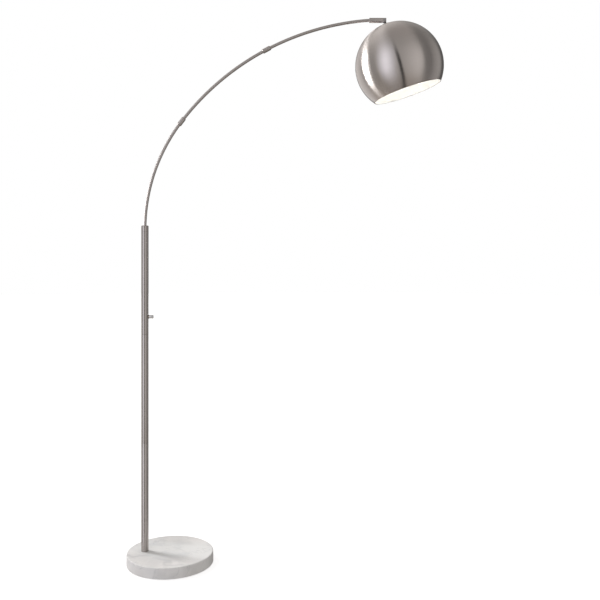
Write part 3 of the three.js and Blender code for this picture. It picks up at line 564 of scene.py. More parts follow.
# A screw thread: a bead on a helix that thins out at both ends.
def makeThreadTree():
    tree, groupIn = newTree("screw thread", ("Radius", "Pitch", "Turns", "Bead", "Start"))
    helix = put(tree, "GeometryNodeCurveSpiral", {"Resolution": 40})
    height = calc(tree, "MULTIPLY", (groupIn, "Pitch"), (groupIn, "Turns"))
    wire(tree, (groupIn, "Turns"), (helix, "Rotations"))
    wire(tree, (groupIn, "Radius"), (helix, "Start Radius"))
    wire(tree, (groupIn, "Radius"), (helix, "End Radius"))
    wire(tree, (height, 0), (helix, "Height"))
    spline = put(tree, "GeometryNodeSplineParameter")
    toEnd = calc(tree, "SUBTRACT", 1.0, (spline, "Factor"))
    nearest = calc(tree, "MINIMUM", (spline, "Factor"), (toEnd, 0))
    growing = calc(tree, "MULTIPLY_ADD", (nearest, 0), 12.0, 0.02)
    taper = calc(tree, "MINIMUM", (growing, 0), 1.0)
    sized = put(tree, "GeometryNodeSetCurveRadius")
    wire(tree, (helix, 0), (sized, "Curve"))
    wire(tree, (taper, 0), (sized, "Radius"))
    section = put(tree, "GeometryNodeCurvePrimitiveCircle", {"Resolution": 8})
    wire(tree, (groupIn, "Bead"), (section, "Radius"))
    bead = swept(tree, (sized, 0), (section, 0), **{"Fill Caps": True})
    if "Scale" in bead.inputs:  # newer trees scale the section by this socket
        wire(tree, (put(tree, "GeometryNodeInputRadius"), 0), (bead, "Scale"))
    return endTree(tree, liftedBy(tree, (bead, 0), (groupIn, "Start")), groupIn)


# Small bars set in a ring about Z, such as a knurl or moulded grips.
def makeRingTree():
    tree, groupIn = newTree("bars in a ring", ("Radius", "Width", "Depth", "Length", "Height"), ("Count",))
    circle = put(tree, "GeometryNodeMeshCircle")
    wire(tree, (groupIn, "Count"), (circle, "Vertices"))
    wire(tree, (groupIn, "Radius"), (circle, "Radius"))
    section = put(tree, "GeometryNodeCurvePrimitiveCircle", {"Resolution": 8, "Radius": 0.5})
    line = put(tree, "GeometryNodeCurvePrimitiveLine", {"Start": (0, 0, -0.5), "End": (0, 0, 0.5)})
    bar = swept(tree, (line, 0), (section, 0), **{"Fill Caps": True})
    size = put(tree, "ShaderNodeCombineXYZ")
    for axis, label in (("X", "Depth"), ("Y", "Width"), ("Z", "Length")):
        wire(tree, (groupIn, label), (size, axis))
    sized = put(tree, "GeometryNodeTransform")
    wire(tree, (bar, 0), (sized, "Geometry"))
    wire(tree, (size, 0), (sized, "Scale"))
    parts = put(tree, "ShaderNodeSeparateXYZ")
    wire(tree, (put(tree, "GeometryNodeInputPosition"), 0), (parts, 0))
    facing = put(tree, "ShaderNodeCombineXYZ")
    wire(tree, (calc(tree, "ARCTAN2", (parts, "Y"), (parts, "X")), 0), (facing, "Z"))
    copies = put(tree, "GeometryNodeInstanceOnPoints")
    wire(tree, (circle, 0), (copies, "Points"))
    wire(tree, (sized, 0), (copies, "Instance"))
    wire(tree, (facing, 0), (copies, "Rotation"))
    return endTree(tree, liftedBy(tree, (copies, 0), (groupIn, "Height")), groupIn)


sweepTree = makeSweepTree()
threadTree = makeThreadTree()
ringTree = makeRingTree()


# Runs a tree on a chain of points. Sizes are in millimetres and are named as the tree's inputs are.
def runTree(name, tree, sizes, material, points=()):
    mesh = bpy.data.meshes.new(name)
    mesh.from_pydata([Vector(p) * mm for p in points], [(i, i + 1) for i in range(len(points) - 1)], [])
    obj = addObject(name, mesh)
    modifier = obj.modifiers.new(tree.name, "NODES")
    modifier.node_group = tree
    for item in tree.interface.items_tree:
        if item.in_out == "OUTPUT" or item.name == "Geometry":
            continue
        if item.name == "Material":
            modifier[item.identifier] = material
        elif item.name in ("Sides", "Count"):
            modifier[item.identifier] = sizes[item.name.lower()]
        else:
            modifier[item.identifier] = float(sizes[item.name.lower()]) * (1 if item.name == "Turns" else mm)
    return settle(obj)


def repeated(name, tree, sizes, material, place):
    obj = runTree(name, tree, sizes, material)
    obj.data.transform(place)
    return smooth(obj)


print("helpers and node trees ready")

# base: a marble slab on a rubber pad, hollowed for the pole's fixing and for the lead
base = {
    "radius": 150, "thickness": 38, "topRound": 4, "footRound": 1.5,
    "padRadius": 143, "padThickness": 2, "padHole": 24,
    "padRings": 9, "padRingStart": 30, "padRingStep": 12, "padRingWidth": 4, "padRingSlope": 1,
    "padGroove": 0.5,
    "poleX": -88.4, "pocketRadius": 21, "pocketDepth": 26, "rodHole": 5.8, "rodHoleStart": 5,
    "channelWidth": 9, "channelHeight": 9, "past": 2,  # past: how far a cutter reaches beyond what it cuts
}
poleX, past = base["poleX"], base["past"]
poleAxis = moveTo(poleX, 0, 0)
slabBottom = base["padThickness"]
slabTop = slabBottom + base["thickness"]
marble = turned("marble_slab", [
    (0, slabBottom), (base["radius"], slabBottom, base["footRound"]),
    (base["radius"], slabTop, base["topRound"]), (0, slabTop),
], whiteMarble, sides=192, steps=8)
carve(marble, cuts=[
    rod("pocket", base["pocketRadius"], slabBottom - past, slabBottom + base["pocketDepth"], 72, poleAxis),
    rod("hole", base["rodHole"], base["rodHoleStart"], slabTop + past, 48, poleAxis),
    block("channel", (-base["radius"] - past, -base["channelWidth"] / 2, slabBottom - past),
          (poleX, base["channelWidth"] / 2, slabBottom + base["channelHeight"])),
])
fit(marble, "stand", "marble", "marble_base")

# the pad's underside has fine moulded rings between its rims
padLine = [(0, 0)]
for i in range(base["padRings"]):
    start = base["padRingStart"] + i * base["padRingStep"]
    end = start + base["padRingWidth"]
    padLine += [(start, 0), (start + base["padRingSlope"], base["padGroove"]),
                (end - base["padRingSlope"], base["padGroove"]), (end, 0)]
pad = turned("rubber_pad", padLine + [
    (base["padRadius"], 0, 0.5), (base["padRadius"], slabBottom, 0.3), (0, slabBottom)],
    blackRubber, sides=160, steps=3)
carve(pad, cuts=[rod("padHole", base["padHole"], -1, slabBottom + 1, 72, poleAxis)])
fit(pad, "stand", "rubber", "base_pad")
fit(softened("cord_bushing", "lead_bushing", blackRubber, 0.35), "stand", "rubber", "cord_bushing")
for node, name in (("base_nut", "fixing_nut"), ("base_lock_washer", "lock_washer"),
                   ("base_plate_washer", "plate_washer")):
    fit(softened(node, name, zincSteel, 0.3), "stand", "steel", node)

fixing = {
    "radius": 4.55, "bore": 3.5, "bottom": 16.25, "top": 62.0, "edge": 0.3,
    "thread": {"radius": 4.5, "pitch": 1.0, "turns": 44, "bead": 0.48, "start": 17.0},
}


# a hollow lamp rod: a plain tube under its thread
def threadedRod(name, look, place):
    radius, hole, low, high, edge = (look[key] for key in ("radius", "bore", "bottom", "top", "edge"))
    tube = turned(name, [
        (hole, low), (radius, low, edge), (radius, high, edge), (hole, high)], zincSteel, 48, place)
    return joined(tube, repeated(name + "_thread", threadTree, look["thread"], zincSteel, place))


fit(threadedRod("fixing_rod", fixing, poleAxis), "stand", "steel", "base_threaded_rod")
print("base built")

# pole: three tubes and a cap on one axis, drilled for the switch and for the arm's screw
pole = {
    "radius": 12.7, "wall": 1.2, "seams": (40.05, 419.0, 798.0, 1156.0), "gap": 0.05, "edge": 0.45,
    "top": 1178.0, "topRound": 3.5, "capSpigot": 14, "spigotRadius": 11.2, "armHole": 5.9, "armHoleEdge": 0.6,
    "switchHeight": 859.0, "neckHole": 5.1, "screwHeight": 1167.0, "screwHole": 2.8,
    "sideCut": (4, 20),  # where a side hole's cutter starts and ends, from the pole's axis
}
alongX = Matrix.Rotation(math.radians(90), 4, "Y")
alongY = Matrix.Rotation(math.radians(-90), 4, "X")
switchPlace = moveTo(poleX, 0, pole["switchHeight"]) @ alongX
screwPlace = moveTo(poleX, 0, pole["screwHeight"]) @ alongY
radius, bore, edge = pole["radius"], pole["radius"] - pole["wall"], pole["edge"]
thirds = ("lower", "middle", "upper")
tubes = []
for which, low, seam in zip(thirds, pole["seams"], pole["seams"][1:]):
    high = seam - pole["gap"]
    tubes.append(turned("pole_" + which, [
        (bore, low), (radius, low, edge), (radius, high, edge), (bore, high)],
        brushedNickel, 128, poleAxis, 3))
carve(tubes[2], cuts=[rod("neckHole", pole["neckHole"], *pole["sideCut"], 48, switchPlace)])
for tube, which in zip(tubes, thirds):
    fit(tube, "stand", "nickel", "pole_tube_" + which)

capBottom = pole["seams"][3]
spigotBottom = capBottom - pole["capSpigot"]
poleCap = turned("pole_top", [
    (pole["armHole"], spigotBottom), (pole["spigotRadius"], spigotBottom),
    (pole["spigotRadius"], capBottom), (radius, capBottom, edge),
    (radius, pole["top"], pole["topRound"]), (pole["armHole"], pole["top"], pole["armHoleEdge"])],
    brushedNickel, 128, poleAxis, 8)
carve(poleCap, cuts=[rod("screwHole", pole["screwHole"], *pole["sideCut"], 32, screwPlace)])
fit(poleCap, "stand", "nickel", "pole_cap")
fit(softened("arm_clamp_screw", "clamp_screw", zincSteel, 0.2), "stand", "steel", "arm_clamp_screw")
poleMetal = [*tubes, poleCap]
print("pole built")

# switch: a turned knob and a knurled ring, measured outwards from the pole's axis
knob = {
    "radius": 6.3, "rimRadius": 6.9, "start": 15.3, "length": 14.2, "rim": 3.6, "rimSlope": 0.8,
    "bore": 3.3, "boreEnd": 25.5, "endRound": 0.9,
}
knobEnd = knob["start"] + knob["length"]
rimStart = knobEnd - knob["rim"]
switchKnob = turned("turn_knob", [
    (0, knob["boreEnd"]), (knob["bore"], knob["boreEnd"]), (knob["bore"], knob["start"], 0.2),
    (knob["radius"], knob["start"], 0.5), (knob["radius"], rimStart - knob["rimSlope"], 0.4),
    (knob["rimRadius"], rimStart, 0.4), (knob["rimRadius"], knobEnd, knob["endRound"]), (0, knobEnd)],
    polishedChrome, 96, switchPlace, 6)
fit(switchKnob, "switch", "chrome", "switch_knob")

ringNut = {
    "radius": 6.1, "bore": 5.1, "start": 13.0, "end": 15.0, "boreEdge": 0.15, "edge": 0.3,
    "knurl": {"count": 44, "radius": 6.06, "width": 0.5, "depth": 0.5, "length": 1.5, "height": 14.0},
}
radius, bore, start, end = (ringNut[key] for key in ("radius", "bore", "start", "end"))
switchNut = turned("switch_ring", [
    (bore, start, ringNut["boreEdge"]), (radius, start, ringNut["edge"]),
    (radius, end, ringNut["edge"]), (bore, end, ringNut["boreEdge"])], brushedNickel, 96, switchPlace, 3)
knurl = repeated("switch_knurl", ringTree, ringNut["knurl"], brushedNickel, switchPlace)
fit(joined(switchNut, knurl), "stand", "nickel", "switch_nut")
print("switch built")

# arm: three bent tubes on one path that leaves the pole straight up, joined by couplings over spigots
arm = {
    "footHeight": 1084.25, "bendStart": 1163.5,
    "bends": ((622.0, 37.4), (907.4, 24.75), (907.4, 22.85), (220.0, 5.0)),  # radius, degrees
    "rodRadius": 5.4, "rodWall": 1.0, "meetingGap": 0.5, "rodSeat": 38, "sleeveLap": 4.1, "step": 6.0,
    "couplingLength": 31, "couplingRadius": 8.25, "couplingBore": 5.9, "couplingSlope": 1.8,
    "couplingEdges": (0.3, 0.5, 0.9),  # at the bore, at the end face and at the shoulder
    "spigotLength": 50, "spigotRadius": 4.1, "spigotWall": 0.9,
}
straight = arm["bendStart"] - arm["footHeight"]
bendLengths = [radius * math.radians(degrees) for radius, degrees in arm["bends"]]


# Where the arm's middle line is at a distance along it, in millimetres: x, z, and its lean from
# straight up in radians.
def armPoint(distance):
    x, lean = poleX, 0.0
    z = arm["footHeight"] + min(distance, straight)
    left = distance - straight
    for (radius, _), length in zip(arm["bends"], bendLengths):
        if left <= 0:
            return x, z, lean
        step = min(left, length)
        then = lean + step / radius
        x += radius * (math.cos(lean) - math.cos(then))
        z += radius * (math.sin(then) - math.sin(lean))
        lean, left = then, left - step
    return x + left * math.sin(lean), z + left * math.cos(lean), lean


def tubeAlong(name, start, end, radius, wall, material, sides=48):
    count = max(2, round((end - start) / arm["step"]))
    line = [armPoint(start + (end - start) * i / count) for i in range(count + 1)]
    points = [(x, 0, z) for x, z, _ in line]
    obj = runTree(name, sweepTree, {"radius": radius, "sides": sides + 1}, material, points)
    bm = bmesh.new()
    bm.from_mesh(obj.data)
    bmesh.ops.recalc_face_normals(bm, faces=bm.faces)
    bm.to_mesh(obj.data)
    bm.free()
    thick = obj.modifiers.new("wall", "SOLIDIFY")
    thick.thickness = wall * mm
    thick.offset = -1
    thick.use_even_offset = False
    return smooth(settle(obj))


joints = (straight + bendLengths[0], straight + bendLengths[0] + bendLengths[1])
levelAt = straight + sum(bendLengths)
gap = arm["meetingGap"]
starts = (0, joints[0] + gap, joints[1] + gap)
ends = (joints[0] - gap, joints[1] - gap, levelAt - arm["sleeveLap"] + arm["rodSeat"])
for which, start, end in zip(thirds, starts, ends):
    tube = tubeAlong("arm_tube_" + which, start, end, arm["rodRadius"], arm["rodWall"], brushedNickel)
    fit(tube, "arm", "nickel", "arm_rod_" + which)
reach, slope = arm["couplingLength"] / 2, arm["couplingSlope"]
outer, inner = arm["couplingRadius"], arm["couplingBore"]
boreEdge, endEdge, shoulder = arm["couplingEdges"]
halfSpigot = arm["spigotLength"] / 2
for which, middle in zip(("lower", "upper"), joints):
    x, z, lean = armPoint(middle)
    coupling = turned("arm_joint_" + which, [
        (inner, -reach, boreEdge), (outer - slope, -reach, endEdge), (outer, slope - reach, shoulder),
        (outer, reach - slope, shoulder), (outer - slope, reach, endEdge), (inner, reach, boreEdge)],
        brushedNickel, 96, moveTo(x, 0, z) @ Matrix.Rotation(lean, 4, "Y"), 4)
    fit(coupling, "arm", "nickel", "arm_coupling_" + which)
    spigot = tubeAlong("arm_spigot_tube_" + which, middle - halfSpigot, middle + halfSpigot,
                       arm["spigotRadius"], arm["spigotWall"], zincSteel, 32)
    fit(spigot, "arm", "steel", "arm_spigot_" + which)
print("arm built")

# end sleeve and hinge: the sleeve is level, with a slot for the tongue and seats for the pin's ends
hinge = {
    "length": 58.7, "radius": 8.8, "edge": 0.8, "rodBore": 5.9, "boreEnd": 38.3, "leadBore": 3.5,
    "pivotInset": 6.1, "slot": 6.4, "slotBack": 6.3, "pinHole": 2.8, "seatRadius": 4.3, "seatDepth": 1.5,
    "cut": 14, "seatGap": 0.3,
    "headRadius": 4.0, "headThick": 2.4, "pinRadius": 2.5, "pinEndInset": 0.9,
    "driverSlot": 1.0, "driverDepth": 0.6,
    "nutBore": 2.8, "nutTopRadius": 2.6, "nutDome": 0.6, "nutShoulder": 0.4,
    "washerBore": 2.8, "washerRadius": 5.4, "washerThick": 0.9, "washerAt": 2.15,
    "tongueThick": 4, "tongueWidth": 8, "neckLap": 0.35, "eyeRadius": 5.5, "eyeCut": 4,
    "footRadius": 6.5, "footTop": -12.308, "footHeight": 2.3, "footHole": 5.3, "footRoof": 0.7, "tilt": 18,
}
sleeveX, sleeveZ, _ = armPoint(levelAt)
sleevePlace = moveTo(sleeveX - arm["sleeveLap"], 0, sleeveZ) @ alongX
length, radius, cut = hinge["length"], hinge["radius"], hinge["cut"]
sleeve = turned("hinge_sleeve", [
    (hinge["rodBore"], 0, 0.3), (radius, 0, hinge["edge"]), (radius, length, hinge["edge"]),
    (hinge["leadBore"], length), (hinge["leadBore"], hinge["boreEnd"]), (hinge["rodBore"], hinge["boreEnd"])],
    brushedNickel, 128, sleevePlace, 5)
pivotAlong = length - hinge["pivotInset"]
pinPlace = sleevePlace @ moveTo(0, 0, pivotAlong) @ alongY
seatFloor = radius - hinge["seatDepth"]
carve(sleeve, cuts=[
    block("forkSlot", (-cut, -hinge["slot"] / 2, pivotAlong - hinge["slotBack"]),
          (cut, hinge["slot"] / 2, length + 3), None, sleevePlace),
    rod("pinHole", hinge["pinHole"], -cut, cut, 48, pinPlace),
    rod("frontSeat", hinge["seatRadius"], -cut, -seatFloor, 48, pinPlace),
    rod("rearSeat", hinge["seatRadius"], seatFloor, cut, 48, pinPlace),
], edge=0.25)
fit(sleeve, "arm", "nickel", "end_sleeve")

headRadius, headStart = hinge["headRadius"], seatFloor + hinge["seatGap"]
headEnd = headStart + hinge["headThick"]
pinEnd = headEnd - hinge["pinEndInset"]
hingeScrew = turned("hinge_pin", [
    (0, -headEnd), (headRadius, -headEnd, 0.6), (headRadius, -headStart, 0.2),
    (hinge["pinRadius"], -headStart), (hinge["pinRadius"], pinEnd, 0.3), (0, pinEnd)],
    zincSteel, 64, pinPlace)
driver = block("driver", (-headRadius - past, -hinge["driverSlot"] / 2, -headEnd - 1),
               (headRadius + past, hinge["driverSlot"] / 2, -headEnd + hinge["driverDepth"]), None, pinPlace)
fit(carve(hingeScrew, cuts=[driver], edge=0.12), "arm", "steel", "hinge_screw")
nutBore, nutDome = hinge["nutBore"], hinge["nutDome"]
capNut = turned("hinge_cap_nut", [
    (0, headEnd - nutDome), (nutBore, headEnd - nutDome), (nutBore, headStart, 0.1),
    (headRadius, headStart, 0.2), (headRadius, headEnd - hinge["nutShoulder"], 0.7),
    (hinge["nutTopRadius"], headEnd + nutDome / 2, 0.8), (0, headEnd + nutDome)], zincSteel, 64, pinPlace)
fit(capNut, "arm", "steel", "hinge_nut")
for which, low in (("front", -hinge["washerAt"] - hinge["washerThick"]), ("rear", hinge["washerAt"])):
    high = low + hinge["washerThick"]
    washer = turned("hinge_disc_" + which, [
        (hinge["washerBore"], low, 0.1), (hinge["washerRadius"], low, 0.2),
        (hinge["washerRadius"], high, 0.2), (hinge["washerBore"], high, 0.1)], blackPlastic, 72, pinPlace)
    fit(washer, "arm", "black_plastic", "hinge_washer_" + which)

# the head hangs from the pin, leaning; from here on heights are measured from the pin
pinX, pinZ = round(sleeveX - arm["sleeveLap"] + pivotAlong, 3), round(sleeveZ, 3)
leaning = Matrix.Rotation(math.radians(-hinge["tilt"]), 4, "Y")
headPlace = Matrix.Translation((pinX * mm, 0, pinZ * mm)) @ leaning
eyePlace = headPlace @ alongY
thick, width = hinge["tongueThick"] / 2, hinge["tongueWidth"] / 2
footTop = hinge["footTop"]
footBottom = footTop - hinge["footHeight"]
tongue = rod("shade_tongue", hinge["eyeRadius"], -thick, thick, 96, eyePlace, zincSteel)
carve(tongue, joins=[
    block("neck", (-width, -thick, footTop - hinge["neckLap"]), (width, thick, 0), zincSteel, headPlace),
    rod("foot", hinge["footRadius"], footBottom, footTop, 96, headPlace, zincSteel),
], cuts=[
    rod("eye", hinge["pinHole"], -hinge["eyeCut"], hinge["eyeCut"], 48, eyePlace),
    rod("nippleHole", hinge["footHole"], footBottom - 1, footTop - hinge["footRoof"], 48, headPlace),
], edge=0.3)
fit(tongue, "shade_head", "steel", "hinge_tongue")
print("hinge built")

# shade: a spun shell cut below its middle, with an inward lip at the rim and a small domed cap on top
dome = {
    "radius": 153.75, "wall": 1.2, "centre": -168.658, "rim": -263.522, "hole": 5.3,
    "lip": 2.6, "lipHeight": 2.6, "lipSlope": 0.8, "sides": 256, "steps": 72,
    "capRadius": 16, "capWall": 1.0, "capTop": -11.008, "capFlat": 6.8, "capHole": 4.8,
    "capGap": 0.3, "capRim": 0.8,
}
radius, centre, rim = dome["radius"], dome["centre"], dome["rim"]
inner = radius - dome["wall"]
rimAngle = math.acos((rim - centre) / radius)
rimRadius = radius * math.sin(rimAngle)
lipRadius = rimRadius - dome["lip"]
lipTop = rim + dome["lipHeight"]
innerRimAngle = math.acos((lipTop - centre) / inner)
rimClearance = 0.004  # radians that the outside arc stops short of the rim's rounded corner
shade = turned("shade_dome", [
    *arcPoints(radius, centre, rimAngle - rimClearance, math.asin(dome["hole"] / radius), dome["steps"]),
    *arcPoints(inner, centre, math.asin(dome["hole"] / inner), innerRimAngle, dome["steps"] - 2),
    (lipRadius, lipTop - dome["lipSlope"], 0.5), (lipRadius, rim, 0.8), (rimRadius, rim, 0.5),
], spunShade, dome["sides"], headPlace, 5)
shade.data.materials.append(whiteEnamel)
sphereMiddle = headPlace @ Vector((0, 0, centre * mm))
axis = (headPlace.to_3x3() @ Vector((0, 0, 1))).normalized()
for polygon in shade.data.polygons:  # enamel inside, up to the lip's bare underside
    away = polygon.center - sphereMiddle
    inside = away.length < (radius - dome["wall"] / 2) * mm
    atRim = away.dot(axis) < (rim - centre + dome["lipHeight"]) * mm
    facingDown = polygon.normal.dot(axis) < -0.7
    polygon.material_index = 1 if inside and not (atRim and facingDown) else 0
fit(shade, "shade_head", "shade_metal", "shade")

capTop, capFlat, capWall = dome["capTop"], dome["capFlat"], dome["capWall"]
capEdge = centre + math.sqrt(radius ** 2 - dome["capRadius"] ** 2) + dome["capGap"]
domeWidth = dome["capRadius"] - capFlat
domeDrop = capTop - capEdge - dome["capRim"]
capOuter = (domeWidth ** 2 + domeDrop ** 2) / (2 * domeDrop)  # radius of the cap's curve
capInner = capOuter - capWall
outerCurve = arcPoints(capOuter, capTop - capOuter, math.asin(domeWidth / capOuter), 0, 16)
innerCurve = arcPoints(capInner, capTop - capOuter, 0, math.asin((domeWidth - capWall) / capInner), 12)
shadeCap = turned("shade_cover", [
    (dome["capRadius"] - capWall, capEdge), (dome["capRadius"], capEdge, 0.25),
    *((capFlat + x, z) for x, z in outerCurve),
    (dome["capHole"], capTop, 0.3), (dome["capHole"], capTop - capWall),
    *((capFlat + x, z) for x, z in innerCurve)], polishedChrome, 128, headPlace, 4)
fit(shadeCap, "shade_head", "chrome", "shade_cap")
for node, name, material, slot in (("shade_washer", "shade_flat_washer", zincSteel, "steel"),
                                   ("shade_nut", "shade_hex_nut", plainBrass, "brass")):
    fit(softened(node, name, material, 0.25), "shade_head", slot, node)
nipple = {
    "radius": 4.55, "bore": 3.5, "bottom": -28.0, "top": -13.308, "edge": 0.3,
    "thread": {"radius": 4.5, "pitch": 1.0, "turns": 13, "bead": 0.45, "start": -27.2},
}
fit(threadedRod("shade_tube", nipple, headPlace), "shade_head", "steel", "shade_nipple")
print("shade built")

# lampholder: a moulded cup over a ribbed skirt, around a plain screw shell
holder = {
    "radius": 20, "wall": 1.5, "shoulder": 12, "cupTop": -22.0, "cupBottom": -46.0, "straight": 12,
    "skirtTop": -46.3, "skirtBottom": -82.3, "nippleHole": 5.3,
    "grips": {"count": 36, "radius": 20, "width": 1.6, "depth": 1.0, "length": 22, "height": -66.0},
    "shellBore": 13.6, "shellWall": 0.7, "shellTop": -54.6, "shellBottom": -80.3, "shellEdge": 0.2,
}
outer, inner, wall = holder["radius"], holder["radius"] - holder["wall"], holder["wall"]
cupTop, cupBottom = holder["cupTop"], holder["cupBottom"]
cupShoulder = cupBottom + holder["straight"]
cup = turned("holder_cap", [
    (inner, cupBottom), (outer, cupBottom, 0.4), (outer, cupShoulder, 3), (holder["shoulder"], cupTop, 1.2),
    (holder["nippleHole"], cupTop, 0.3), (holder["nippleHole"], cupTop - wall),
    (holder["shoulder"] - wall, cupTop - wall, 0.8), (inner, cupShoulder - wall, 2)],
    blackPlastic, 96, headPlace, 5)
fit(cup, "shade_head", "black_plastic", "holder_cup")
skirt = turned("holder_ring", [
    (inner, holder["skirtBottom"], 0.5), (outer, holder["skirtBottom"], 0.6),
    (outer, holder["skirtTop"], 0.4), (inner, holder["skirtTop"], 0.2)], blackPlastic, 96, headPlace, 4)
grips = repeated("holder_grips", ringTree, holder["grips"], blackPlastic, headPlace)
fit(joined(skirt, grips), "shade_head", "black_plastic", "holder_skirt")

# bulb: a threaded screw cap, the shell it sits in, and an opal globe
bulb = {
    "capRadius": 12.5, "capTop": -59.6, "capBottom": -82.6, "capWall": 0.6, "taper": 4,
    "topRadius": 6.5, "hole": 3.5, "capFlare": 0.4, "capLip": 0.3, "flareHeight": 2,
    "topWall": 0.5, "sideWall": 0.45,
    "thread": {"radius": 12.45, "pitch": 3.6, "turns": 4, "bead": 0.55, "start": -79.2},
    "globe": 30, "globeCentre": -135.3, "neck": 12.1, "glass": 1.0, "shoulder": 14,
    "neckDrop": 6, "neckDropInside": 6.2, "neckRise": 12, "neckRound": 5,
}
capRadius, capTop, capBottom = bulb["capRadius"], bulb["capTop"], bulb["capBottom"]
taperStart, underTop = capTop - bulb["taper"], capTop - bulb["capWall"]
bulbCap = turned("bulb_screw_cap", [
    (capRadius - bulb["capLip"], capBottom), (capRadius + bulb["capFlare"], capBottom, 0.3),
    (capRadius, capBottom + bulb["flareHeight"], 0.5), (capRadius, taperStart, 1.5),
    (bulb["topRadius"], capTop, 0.8), (bulb["hole"], capTop, 0.2),
    (bulb["hole"], underTop), (bulb["topRadius"] - bulb["topWall"], underTop),
    (capRadius - bulb["sideWall"], taperStart - bulb["capWall"])], zincSteel, 96, headPlace, 3)
capThread = repeated("bulb_thread", threadTree, bulb["thread"], zincSteel, headPlace)
fit(joined(bulbCap, capThread), "shade_head", "nickel", "bulb_cap")

shellIn, shellEdge = holder["shellBore"], holder["shellEdge"]
shellOut = shellIn + holder["shellWall"]
shell = turned("holder_screw_shell", [
    (shellIn, holder["shellBottom"], shellEdge), (shellOut, holder["shellBottom"], shellEdge),
    (shellOut, holder["shellTop"], shellEdge), (shellIn, holder["shellTop"], shellEdge)],
    plainBrass, 96, headPlace, 3)
fit(shell, "shade_head", "brass", "holder_thread_shell")

neck, globeCentre, neckRound = bulb["neck"], bulb["globeCentre"], bulb["neckRound"]
neckIn, neckTop = neck - bulb["glass"], capBottom + bulb["neckRise"]
neckAngle = math.asin(neck / bulb["globe"]) + math.radians(bulb["shoulder"])
globe = turned("bulb_glass", [
    *arcPoints(bulb["globe"], globeCentre, math.pi, neckAngle, 40),
    (neck, capBottom - bulb["neckDrop"], neckRound), (neck, neckTop, 0.3),
    (neckIn, neckTop, 0.3), (neckIn, capBottom - bulb["neckDropInside"], neckRound),
    *arcPoints(bulb["globe"] - bulb["glass"], globeCentre, neckAngle, math.pi, 32)],
    opalGlass, 128, headPlace, 8)
fit(globe, "shade_head", "bulb_glass", "bulb_globe")
for node, name, material, slot, edge in (
    ("holder_insulator", "holder_base", whitePorcelain, "porcelain", 0.6),
    ("holder_contact", "holder_leaf", plainBrass, "brass", 0.12),
    ("bulb_contact", "bulb_tip", plainBrass, "brass", 0.5),
):
    fit(softened(node, name, material, edge), "shade_head", slot, node)
print("lampholder and bulb built")

# CAD nodes that stay: pieces inside the tubes, and the leads
keptNodes = {
    zincSteel: ("pole_foot_plug", "pole_joint_lower", "pole_joint_upper", "arm_socket"),
    plainBrass: ("switch_neck", "switch_shaft"),
    blackPlastic: ("switch_body",),
    leadSheath: ("supply_lead", "pole_lead", "arm_lead", "head_lead"),
}
for material, nodes in keptNodes.items():
    for node in nodes:
        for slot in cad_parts[node].material_slots:
            slot.material = material
print("inner nodes finished")

# studio: a pale floor, a soft sun, a strip light, and a world for the metal to reflect
studio = {
    "floorRadius": 16.0, "floorTone": (0.5, 0.5, 0.5, 1), "floorRoughness": 0.9, "floorGlow": 0.75,
    "sunStrength": 1.75, "sunSpread": 15, "sunAzimuth": -116, "sunElevation": 47, "sunHeight": 3,
    "stripPlace": (-0.76, 0.34, 1.66), "stripAim": (0.8, 0.0, 1.66), "stripSize": (0.52, 1.7),
    "stripSpread": 56, "stripBrightness": 1.3,
    "brightest": 3.0,  # the ramps hold brightness divided by this
    "zenith": {"tone": (0.16, 0.15, 0.145), "from": 0.86, "to": 0.96},
    "darkSlot": ((-0.18, 1.0), (-0.16, 0.0), (-0.045, 0.0), (-0.025, 1.0)),
    "slotLean": 0.27, "slotTop": (0.3, 0.62),
    # rings of light: bearing from the camera's side towards +X in degrees, and brightness
    "above": {"tint": (1.0, 0.97, 0.94), "from": 0.3, "to": 0.8, "light": (
        (-180, 1.0), (-140, 1.2), (-125, 0.95), (-97, 0.8), (-70, 0.64), (-44, 0.48), (0, 0.46), (42, 0.5),
        (66, 0.38), (78, 0.27), (104, 0.3), (118, 0.34), (134, 0.26), (180, 0.9))},
    "around": {"tint": (1.0, 0.97, 0.95), "light": (
        (-180, 0.9), (-150, 0.85), (-132, 0.78), (-124, 0.5), (-116, 0.6), (-89, 0.42), (-79, 0.42),
        (-70, 0.46), (-61, 0.95), (-45, 1.75), (-36, 1.6), (-24, 1.05), (-14, 0.6), (0, 0.55), (16, 0.68),
        (40, 0.86), (54, 0.84), (63, 0.3), (84, 0.26), (94, 0.4), (113, 0.5), (126, 0.44), (136, 0.14),
        (168, 0.14), (180, 0.9))},
    "below": {"tint": (1.05, 0.96, 0.87), "from": -0.3, "to": -0.75, "light": (
        (-180, 0.6), (-126, 0.5), (-60, 0.38), (-20, 0.38), (30, 0.46), (70, 0.42), (110, 0.2), (150, 0.18),
        (180, 0.5))},
    "coolPart": (-66, -58, -24, -12), "coolTint": (0.94, 0.98, 1.08),
}
scene.view_settings.view_transform = "Standard"
bm = bmesh.new()
bmesh.ops.create_circle(bm, cap_ends=True, segments=96, radius=studio["floorRadius"])
paleFloor, _, _ = newMaterial("pale floor", {
    "Roughness": studio["floorRoughness"], "Base Color": studio["floorTone"],
    "Emission Color": (*white, 1), "Emission Strength": studio["floorGlow"]})
floor = finished("floor", bm, paleFloor)
floor.visible_glossy = False
floor.visible_diffuse = False


def addLight(name, kind, energy, place, towards):
    data = bpy.data.lights.new(name, kind)
    data.energy = energy
    light = bpy.data.objects.new(name, data)
    light.location = place
    light.rotation_euler = Vector(towards).to_track_quat("Z", "Y").to_euler()
    light.visible_camera = False
    scene.collection.objects.link(light)
    return light


